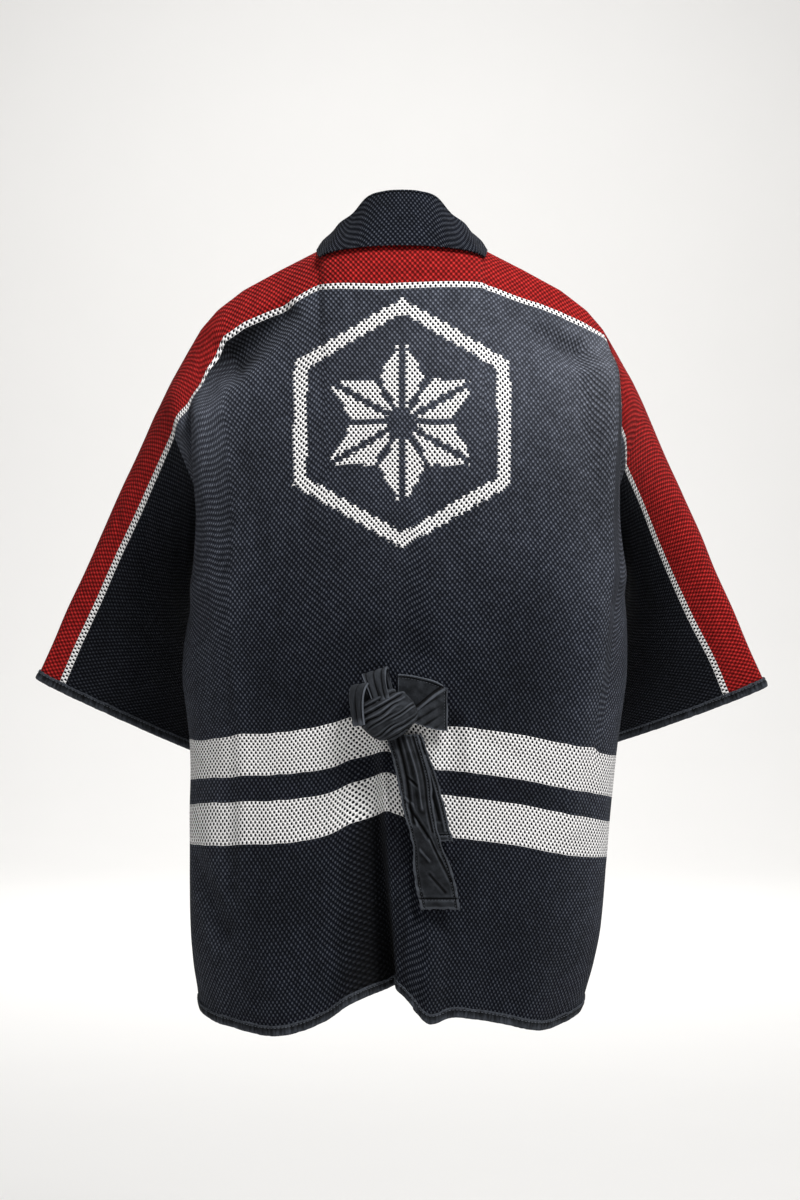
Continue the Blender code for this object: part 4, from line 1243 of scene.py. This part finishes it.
def eased(sections):
    """The collar's sections with its turn over each shoulder made soft."""
    run = travelled(sections[:, 4][:, None], 0)[:, 0]
    eased_over = np.zeros(len(run))
    for side in (-1, 1):
        joint = run[np.argmin(np.linalg.norm(sections[:, 0] - (side * NECK_HALF_WIDTH, 0, 0), axis=-1))]
        eased_over = np.maximum(eased_over, 1 - smooth(np.abs(run - joint) / TURN_REACH))
    spread = LEAST_BLEND + TURN_BLEND * eased_over[:, None]
    weights = np.exp(-((run[None, :] - run[:, None]) / spread) ** 2 / 2) * np.gradient(run)[None, :]
    weights /= weights.sum(axis=1, keepdims=True)
    return np.einsum("ij,jkl->ikl", weights, sections) + eased_over[:, None, None] * TURN_LIFT


def nape_sections(cloth):
    """The collar's sections round the back of the neck, from the right to the left."""
    sections = []
    for column in reversed(range(len(COLUMNS))):
        across = COLUMNS[column]
        if abs(across) < NECK_HALF_WIDTH - 0.001:
            lap = body_points(across * NAPE_LAP_SPREAD, NAPE_LAP_LEVEL, "back") + NAPE_LAP_LIFT
            seam, normal = cloth.points[0, column], cloth.normals[0, column]
            place, side = abs(across) / NECK_HALF_WIDTH - 1, math.copysign(1, across)
            sections.append(collar_section(seam, normal, normal, place, side, lap))
    return sections


def front_sections(cloth, side):
    """The collar's sections down the edge of a front, from the shoulder to the hem."""
    edge_column, next_column = (0, 1) if side > 0 else (-1, -2)
    lap_width = COLLAR_LAP * (0.15 + 0.85 * smooth(LEVELS / 0.25))
    laps = body_points(side * (NECK_HALF_WIDTH + lap_width), LEVELS, "front")
    sections = []
    for row, level in enumerate(LEVELS):
        seam, normal = cloth.points[row, edge_column], cloth.normals[row, edge_column]
        inward = unit(seam - cloth.points[row, next_column])
        lap = laps[row] + normal * COLLAR_CLEARANCE * (0.55 + 0.45 * float(smooth(level / 0.2)))
        sections.append(collar_section(seam, normal, inward, level, side, lap))
    return sections


class JACKET_OT_collar(bpy.types.Operator):
    """Makes the collar, which is one folded band from hem to hem, and its row of stitches"""

    bl_idname = "jacket.collar"
    bl_label = "Collar"

    def execute(self, context):
        grids = panels()
        sections = front_sections(grids["front_right"], 1)[::-1] + nape_sections(grids["back"])
        sections += front_sections(grids["front_left"], -1)
        points = smooth_path(eased(np.array(sections)), 33)
        across, down = travelled(points, 1), travelled(points, 0)
        along = down[:, down.shape[1] // 2][:, None] + 0 * across
        cloth = Cloth(points, np.stack([along, across], axis=-1), flip=True)
        outside = woven_cloth("collar_cloth", light=0.85, fine=0.85)
        piece = shell("jacket_collar", cloth, [outside, outside])
        finish_piece(piece, "cloth_collar", "collar")
        edge, before = points[:, -1], points[:, -2]
        line = edge + unit(before - edge) * COLLAR_STITCH_INSET
        sewing("collar_stitching", [(line, cloth.normals[:, -2])], radius=0.0003)
        return {"FINISHED"}


def thread_finish(name):
    """Twisted cotton thread."""
    finish = Finish(name, roughness=0.7)
    place = finish.object_place()
    colour = finish.scaled(tuple(colours().thread), finish.noise(place, 160.0, 2.0) * 0.8 + 0.6)
    return finish.paint(colour, finish.bump(finish.noise(place, 2400.0, 1.0), 0.0002))


def sewing_thread():
    return material_once("sewing_thread", thread_finish)


def binding_cloth():
    return material_once("binding_cloth", plain_cloth, tuple(colours().binding), wear=0.25, gathers=1.0)


# The section of a binding: how far down the cloth's edge and how far out of it each point lies.
BINDING_WALL = 0.0009
BINDING_SECTION = (
    (-0.0104, 0.0004), (-0.0102, 0.0013), (-0.0086, 0.0017), (-0.0074, 0.0012), (-0.0045, 0.0019),
    (-0.0020, 0.0019), (0.0004, 0.0015), (0.0013, 0.0004), (0.0016, -0.0010), (0.0013, -0.0024),
    (0.0004, -0.0034), (-0.0040, -0.0035), (-0.0100, -0.0030),
)
# A row of the section that lies on its outer face, and where its stitches run.
FACE_ROW = 2
STITCH_ROW = (-0.0076, 0.0017)


def binding(node, edge, above, outward, closed=False, seed=0):
    """A folded strip over an edge, a little puckered by its sewing. It gives its line of stitches."""
    up = unit(above - edge)
    run = travelled(edge[:, None], 0)[:, 0]
    pucker = waver(run, 0 * run, 0.0036, 31 + seed)
    swell = waver(run, 0 * run + 0.5, 0.011, 37 + seed)
    rows = []
    for down, out in BINDING_SECTION:
        on_face = smooth((-down - 0.001) / 0.003) if out > 0 else 0.3
        rows.append(
            edge - up * (down + 0.0005 * swell * on_face + 0.0003 * pucker)[:, None]
            + outward * (out + 0.00075 * pucker * on_face + 0.0003 * swell)[:, None]
        )
    points = np.array(rows)
    length = travelled(points, 0)
    uv = np.stack([np.broadcast_to(run, points.shape[:2]), length], axis=-1)
    if closed:
        points = points[:, :-1]
    cloth = outer_cloth(points, uv, outward[:points.shape[1]], BINDING_WALL, closed, FACE_ROW)
    piece = shell("bound_" + node, cloth, [binding_cloth()])
    finish_piece(piece, "cloth_binding", node)
    return edge - up * STITCH_ROW[0] + outward * STITCH_ROW[1], outward


def hem_edge(columns, facing):
    """The points of a hem, those just above it, and the way out of the cloth there."""
    edge, above = (body_points(columns, 2 - step, facing) for step in (0.0, 0.018))
    outward = grid_normals(np.array([above, edge]))[1]
    return edge, above, outward * np.sign(np.sum(outward * (edge * (1, 1, 0)), axis=-1).mean())


def cuff_edge(side):
    """The same for a cuff, all round from under the arm."""
    levels = np.linspace(0, 1, 150)
    rings = []
    for part in (1.0, 0.97):
        front = sleeve_points(side, part, levels[::-1], "front")
        back = sleeve_points(side, part, levels, "back")
        rings.append(np.concatenate([front, back[1:]]))
    edge, above = rings
    along = unit(np.roll(edge, -1, axis=0) - np.roll(edge, 1, axis=0))
    along[0] = along[-1] = unit(edge[1] - edge[-2])
    outward = unit(np.cross(along, unit(above - edge)))
    return edge, above, outward * np.sign(np.sum(outward * (edge - edge.mean(axis=0)), axis=-1).mean())


class JACKET_OT_bindings(bpy.types.Operator):
    """Makes the bound hem and cuffs, and their stitches"""

    bl_idname = "jacket.bindings"
    bl_label = "Bindings"

    def execute(self, context):
        back_edge = hem_edge(np.linspace(-PANEL_HALF_WIDTH, PANEL_HALF_WIDTH, 560), "back")
        lines = [binding("hem_binding_back", *back_edge)]
        for side, sleeve in SLEEVES.items():
            columns = np.linspace(NECK_HALF_WIDTH * sleeve.side, PANEL_HALF_WIDTH * sleeve.side, 220)
            front_edge = hem_edge(columns, "front")
            lines.append(binding("hem_binding_front_" + side, *front_edge, seed=len(lines)))
        for side in SLEEVES:
            lines.append(binding("cuff_binding_" + side, *cuff_edge(side), closed=True, seed=len(lines)))
        sewing("binding_stitching", lines)
        return {"FINISHED"}


def node_surface(name):
    """The outside of a solid, to lay a finer piece on."""
    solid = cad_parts[name]
    solid.data.calc_loop_triangles()
    points = [vertex.co.copy() for vertex in solid.data.vertices]
    return BVHTree.FromPolygons(points, [tuple(face.vertices) for face in solid.data.loop_triangles])


def depths(surface, xs, heights):
    """How far back a solid's outside is at places seen from behind, with gaps filled from beside."""
    found = []
    for x, height in zip(xs, heights):
        hit = surface.ray_cast((x, -0.5, height), (0, 1, 0))[0]
        found.append(math.nan if hit is None else hit.y)
    found = np.array(found)
    good = ~np.isnan(found)
    return np.interp(np.arange(len(found)), np.arange(len(found))[good], found[good])


# The tie's tape: its thickness, its stitches, and how much painted shade darkens its tails beside its knot.
TAPE_WALL = 0.0022
LOOP_WALL = 0.0020
TAPE_STITCHES = {"pitch": 0.0034, "length": 0.0024, "radius": 0.00022}
TAIL_SHADE = 0.66


def tape_cloth():
    return material_once("tape_cloth", plain_cloth, tuple(colours().tape), wear=0.35)


# The tape's finish again, darker: painted shade on the tails.
def tail_cloth():
    shaded = tuple(c * TAIL_SHADE for c in colours().tape)
    return material_once("tail_cloth", plain_cloth, shaded, wear=0.45)


# The relief of a tail: where each crease runs, in shares of its width and length.
TailCrease = namedtuple("TailCrease", "start_across start end_across end width depth")
TAIL_CREASES = {
    "tie_tail_long": (
        TailCrease(0.34, 0.00, 0.24, 0.50, 0.11, 0.0042),
        TailCrease(0.60, 0.00, 0.62, 0.42, 0.12, -0.0030),
        TailCrease(0.82, 0.00, 0.80, 0.55, 0.08, 0.0026),
        TailCrease(0.24, 0.42, 0.60, 0.58, 0.11, 0.0036),
        TailCrease(0.12, 0.36, 0.34, 0.40, 0.07, -0.0022),
        TailCrease(0.30, 0.24, 0.56, 0.29, 0.06, 0.0018),
        TailCrease(0.66, 0.60, 0.90, 0.84, 0.07, 0.0020),
        TailCrease(0.24, 0.66, 0.46, 0.72, 0.08, -0.0014),
        TailCrease(0.40, 0.80, 0.70, 0.90, 0.07, 0.0012),
    ),
    "tie_tail_short": (
        TailCrease(0.70, 0.00, 0.72, 0.80, 0.12, 0.0026),
        TailCrease(0.86, 0.20, 0.84, 0.90, 0.08, -0.0016),
    ),
}
# How long a tail is for its width, and where along it the hem of its end is sewn.
TAIL_LENGTH_SHARE = 4
TAIL_END_HEM = 0.94


def tail(node, strips):
    """A loose end of the tie, with its sewn edges, creases and hemmed end. It gives its stitches."""
    parts = np.linspace(0, 1, 130)
    shares = np.linspace(0, 1, 40)
    heights = strips[0].height + (strips[-1].height - strips[0].height) * parts
    left, right = read(strips, "left", heights, "height"), read(strips, "right", heights, "height")
    back_y = depths(node_surface(node), (left + right) / 2, heights)
    share, part = np.meshgrid(shares, parts)
    x = left[:, None] + (right - left)[:, None] * share
    height = np.broadcast_to(heights[:, None], x.shape).copy()
    rise = 0.0016 * np.sin(np.pi * share)
    for crease in TAIL_CREASES[node]:
        run = (crease.end_across - crease.start_across, (crease.end - crease.start) * TAIL_LENGTH_SHARE)
        start = (share - crease.start_across, (part - crease.start) * TAIL_LENGTH_SHARE)
        away = along_line(start, run)[1] / crease.width
        rise -= np.where(away < 1, crease.depth * (1 - away) ** 1.4, 0)
    run_down = heights[0] - height
    edge = np.abs(2 * share - 1)
    rise += 0.0010 * smooth((edge - 0.84) / 0.05) - 0.0009 * np.exp(-((edge - 0.80) / 0.035) ** 2)
    rise += 0.0008 * waver(run_down, share * 0.02, 0.006, 51) * smooth((edge - 0.6) / 0.3)
    rise += 0.0010 * waver(run_down, share * 0.03, 0.012, 53)
    past_hem = part - TAIL_END_HEM
    rise += 0.0010 * smooth(past_hem / 0.004) - 0.0012 * np.exp(-(past_hem / 0.006) ** 2)
    x = x + 0.0009 * waver(run_down, 0 * share, 0.009, 57) * np.sign(share - 0.5) * edge ** 4
    height -= 0.0008 * waver(x, 0 * x, 0.004, 59) * smooth((part - 0.97) / 0.03)
    y = back_y[:, None] - rise - 0.0004
    points = np.stack([x, y, height], axis=-1)
    cloth = Cloth(points, np.stack([x, run_down], axis=-1), wall=TAPE_WALL)
    piece = shell("waist_" + node, cloth, [tail_cloth()])
    finish_piece(piece, "cloth_tie", node)
    column, row = 4, int(len(parts) * TAIL_END_HEM)
    lines = [(points[:, at], cloth.normals[:, at]) for at in (column, -1 - column)]
    lines.append((points[row], cloth.normals[row]))
    return lines


class JACKET_OT_tie_tails(bpy.types.Operator):
    """Makes the two loose ends of the waist tie"""

    bl_idname = "jacket.tie_tails"
    bl_label = "Tie tails"

    def execute(self, context):
        lines = tail("tie_tail_long", LONG_TAIL) + tail("tie_tail_short", SHORT_TAIL)
        sewing("tail_stitching", lines, **TAPE_STITCHES)
        return {"FINISHED"}


# The sewn end of the tie, from its seam to behind the knot.
BandPlace = namedtuple("BandPlace", "across top low")
BAND_PLACES = (
    BandPlace(0.0505, -0.5045, -0.5520),
    BandPlace(0.0387, -0.4980, -0.5505),
    BandPlace(0.0200, -0.4925, -0.5450),
    BandPlace(0.0000, -0.4895, -0.5380),
    BandPlace(-0.0045, -0.4895, -0.5365),
)


class JACKET_OT_tie_band(bpy.types.Operator):
    """Makes the sewn end of the waist tie, between its seam and the knot"""

    bl_idname = "jacket.tie_band"
    bl_label = "Tie band"

    def execute(self, context):
        surface = node_surface("back")
        parts, shares = np.linspace(0, 1, 70), np.linspace(0, 1, 60)
        part, share = np.meshgrid(parts, shares, indexing="ij")
        across = BAND_PLACES[0].across + (BAND_PLACES[-1].across - BAND_PLACES[0].across) * parts
        top, low = (read(BAND_PLACES, column, across, "across")[:, None] for column in ("top", "low"))
        x = np.broadcast_to(across[:, None], part.shape)
        height = top + (low - top) * share
        base = depths(surface, across, np.full(len(across), -0.520))
        past = share - (part - 0.08) * 1.15
        fold = smooth(past / 0.09)
        rise = 0.0030 + 0.0100 * fold * (1 - 0.50 * smooth((past - 0.08) / 0.5)) * (0.75 + 0.35 * part)
        rise += 0.0015 * (1 - smooth(share / 0.05)) + 0.0010 * (1 - smooth(part / 0.04))
        rise += 0.0012 * fold * np.abs(np.sin(past * 15 + part * 3)) * smooth(part / 0.4)
        rise += 0.0007 * waver(x, height, 0.008, 61)
        points = np.stack([x, base[:, None] - rise, height], axis=-1)
        cloth = outer_cloth(points, np.stack([x, height], axis=-1), (0, -1, 0), TAPE_WALL)
        piece = shell("waist_tie_band", cloth, [tape_cloth()])
        finish_piece(piece, "cloth_tie", "tie_band")
        lines = [(points[:, 4], cloth.normals[:, 4]), (points[4], cloth.normals[4])]
        sewing("band_stitching", lines, **TAPE_STITCHES)
        return {"FINISHED"}


# The knot's middle, wound round the tails along the way that they run.
WRAP_CENTRE = (-0.0160, -0.5335)
WRAP_TILT = math.radians(36)
WRAP_HALF_LENGTH = 0.0275
WRAP_HALF_WIDTH = 0.0315
WRAP_HALF_DEPTH = 0.0172
WRAP_ROUND = 0.157
# Its creases: where each lies along it, its width, depth and slant, and how far round it goes.
WrapCrease = namedtuple("WrapCrease", "place width depth slant start end")
WRAP_CREASES = (
    WrapCrease(-0.72, 0.10, 0.0040, 0.04, -3.2, 3.2),
    WrapCrease(-0.44, 0.09, 0.0034, -0.06, -1.7, 1.5),
    WrapCrease(-0.20, 0.08, 0.0026, -0.12, -1.7, 0.9),
    WrapCrease(0.02, 0.06, 0.0016, -0.16, -1.3, 0.5),
    WrapCrease(0.20, 0.06, 0.0018, -0.10, -0.2, 1.6),
    WrapCrease(0.42, 0.06, 0.0016, -0.14, -1.5, 0.3),
    WrapCrease(0.64, 0.08, 0.0022, -0.08, -0.7, 1.6),
    WrapCrease(0.86, 0.08, 0.0026, 0.02, -3.2, 3.2),
)


def wrap_part(centre):
    """The fat middle of the knot, wound round the two tails."""
    axis = np.array((math.sin(WRAP_TILT), 0, -math.cos(WRAP_TILT)))
    side = np.array((math.cos(WRAP_TILT), 0, math.sin(WRAP_TILT)))
    angles = np.linspace(-math.pi, math.pi, 161)[:-1]
    place, angle = np.meshgrid(np.linspace(-1, 1, 120), angles, indexing="ij")
    profile = np.sqrt(np.clip(1 - np.abs(place) ** 3.6, 0.0, 1)) * 0.88 + 0.12 * (1 - np.abs(place))
    swell = np.zeros_like(place)
    for crease in WRAP_CREASES:
        bend = 0.05 * waver(angle * 0.02, 0 * angle + crease.place * 0.1, 0.012, 73)
        away = np.abs(place - crease.place - crease.slant * np.sin(angle) - bend) / crease.width
        fade = smooth((angle - crease.start) / 0.6) * smooth((crease.end - angle) / 0.6)
        swell -= crease.depth * fade * (np.exp(-away * 1.6) - 0.35 * np.exp(-((away - 1.3) / 0.7) ** 2))
    swell += 0.0010 * waver(place * 0.027, angle * 0.02, 0.010, 71)
    wide = WRAP_HALF_WIDTH * profile + swell
    deep = WRAP_HALF_DEPTH * profile + swell
    along = place * WRAP_HALF_LENGTH + 0.005 * np.sin(angle) * (1 - place ** 2)
    points = (
        centre + axis * along[..., None] + side * (np.sin(angle) * wide)[..., None]
        + np.array((0, -1, 0)) * (np.cos(angle) * deep)[..., None]
    )
    return points, np.stack([angle * 0.025, place * 0.03], axis=-1)


# The folded loops of the knot: their foot, lean and turn, half their width and depth, and height.
KnotLoop = namedtuple("KnotLoop", "across height lean half_width half_depth rise turn pleats")
KNOT_LOOPS = (
    KnotLoop(-0.0400, -0.5440, -0.14, 0.0125, 0.0120, 0.0450, 0.75, 2.0),
    KnotLoop(-0.0200, -0.5180, -0.30, 0.0150, 0.0110, 0.0350, 0.22, 3.0),
)


def loop_part(row, depth):
    """One loop: a strip that goes up in front, over its top and down behind."""
    arc, share = np.meshgrid(np.linspace(0, math.pi, 56), np.linspace(-1, 1, 36), indexing="ij")
    up = np.array((math.sin(row.lean), 0, math.cos(row.lean)))
    side = np.array((math.cos(row.lean) * math.cos(row.turn), -math.sin(row.turn), -math.sin(row.lean)))
    out = unit(np.cross(side, up))
    foot = np.array((row.across, depth, row.height))
    narrow = 1 - 0.30 * np.cos(arc) ** 2 + 0.04 * waver(arc * 0.01, 0 * arc, 0.006, 83)
    pleat = np.abs(np.sin(np.pi * row.pleats * (share + 0.15 * np.cos(arc)) / 2)) ** 0.7
    bulge = row.half_depth * (1 + 0.08 * waver(share * 0.01, arc * 0.01, 0.006, 81)) + 0.0016 * pleat
    height = row.rise * np.sin(arc) ** 0.75 + 0.0012 * pleat * np.sin(arc)
    points = (
        foot + up * height[..., None] + side * (share * row.half_width * narrow)[..., None]
        + out * (np.cos(arc) * bulge)[..., None]
    )
    return points, np.stack([share * row.half_width, arc * 0.012], axis=-1)


class JACKET_OT_knot(bpy.types.Operator):
    """Makes the knot of the waist tie: a wound middle with two folded loops above it"""

    bl_idname = "jacket.knot"
    bl_label = "Knot"

    def execute(self, context):
        low, high = (np.array(corner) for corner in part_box("tie_knot"))
        centre = np.array((WRAP_CENTRE[0], (low[1] + high[1]) / 2, WRAP_CENTRE[1]))
        points, uv = wrap_part(centre)
        around = np.concatenate([uv, uv[:, :1] + (WRAP_ROUND, 0)], axis=1)
        wrap = outer_cloth(points, around, points - centre, TAPE_WALL, closed=True)
        piece = shell("waist_tie_knot", wrap, [tape_cloth()])
        finish_piece(piece, "cloth_tie", "tie_knot")
        for number, row in enumerate(KNOT_LOOPS):
            points, uv = loop_part(row, centre[1] + 0.001)
            loop = outer_cloth(points, uv, points - points.mean(axis=(0, 1)), LOOP_WALL)
            made = shell(f"waist_tie_loop_{number + 1}", loop, [tape_cloth()])
            finish_piece(made, "cloth_tie")
        return {"FINISHED"}


OPERATORS = (
    JACKET_OT_stage, JACKET_OT_back, JACKET_OT_fronts, JACKET_OT_sleeves, JACKET_OT_collar,
    JACKET_OT_bindings, JACKET_OT_tie_tails, JACKET_OT_tie_band, JACKET_OT_knot,
)


class JACKET_PT_panel(bpy.types.Panel):
    """The jacket's pieces and settings"""

    bl_idname = "JACKET_PT_panel"
    bl_label = "Jacket"
    bl_space_type = "VIEW_3D"
    bl_region_type = "UI"
    bl_category = "Jacket"

    def draw(self, context):
        for operator in OPERATORS:
            self.layout.operator(operator.bl_idname)
        for group in (context.scene.jacket_weave, context.scene.jacket_colours, context.scene.jacket_stage):
            box = self.layout.box()
            for name in group.__annotations__:
                box.prop(group, name)


CLASSES = (JacketWeave, JacketColours, JacketStage) + OPERATORS + (JACKET_PT_panel,)


def register():
    for each in CLASSES:
        bpy.utils.register_class(each)
    bpy.types.Scene.jacket_weave = PointerProperty(type=JacketWeave)
    bpy.types.Scene.jacket_colours = PointerProperty(type=JacketColours)
    bpy.types.Scene.jacket_stage = PointerProperty(type=JacketStage)


def unregister():
    del bpy.types.Scene.jacket_weave
    del bpy.types.Scene.jacket_colours
    del bpy.types.Scene.jacket_stage
    for each in reversed(CLASSES):
        bpy.utils.unregister_class(each)


def main():
    register()
    bpy.ops.object.select_all(action="DESELECT")
    bpy.ops.jacket.stage()
    bpy.ops.jacket.back()
    bpy.ops.jacket.fronts()
    bpy.ops.jacket.sleeves()
    bpy.ops.jacket.collar()
    bpy.ops.jacket.bindings()
    bpy.ops.jacket.tie_tails()
    bpy.ops.jacket.tie_band()
    bpy.ops.jacket.knot()


if __name__ == "__main__":
    main()
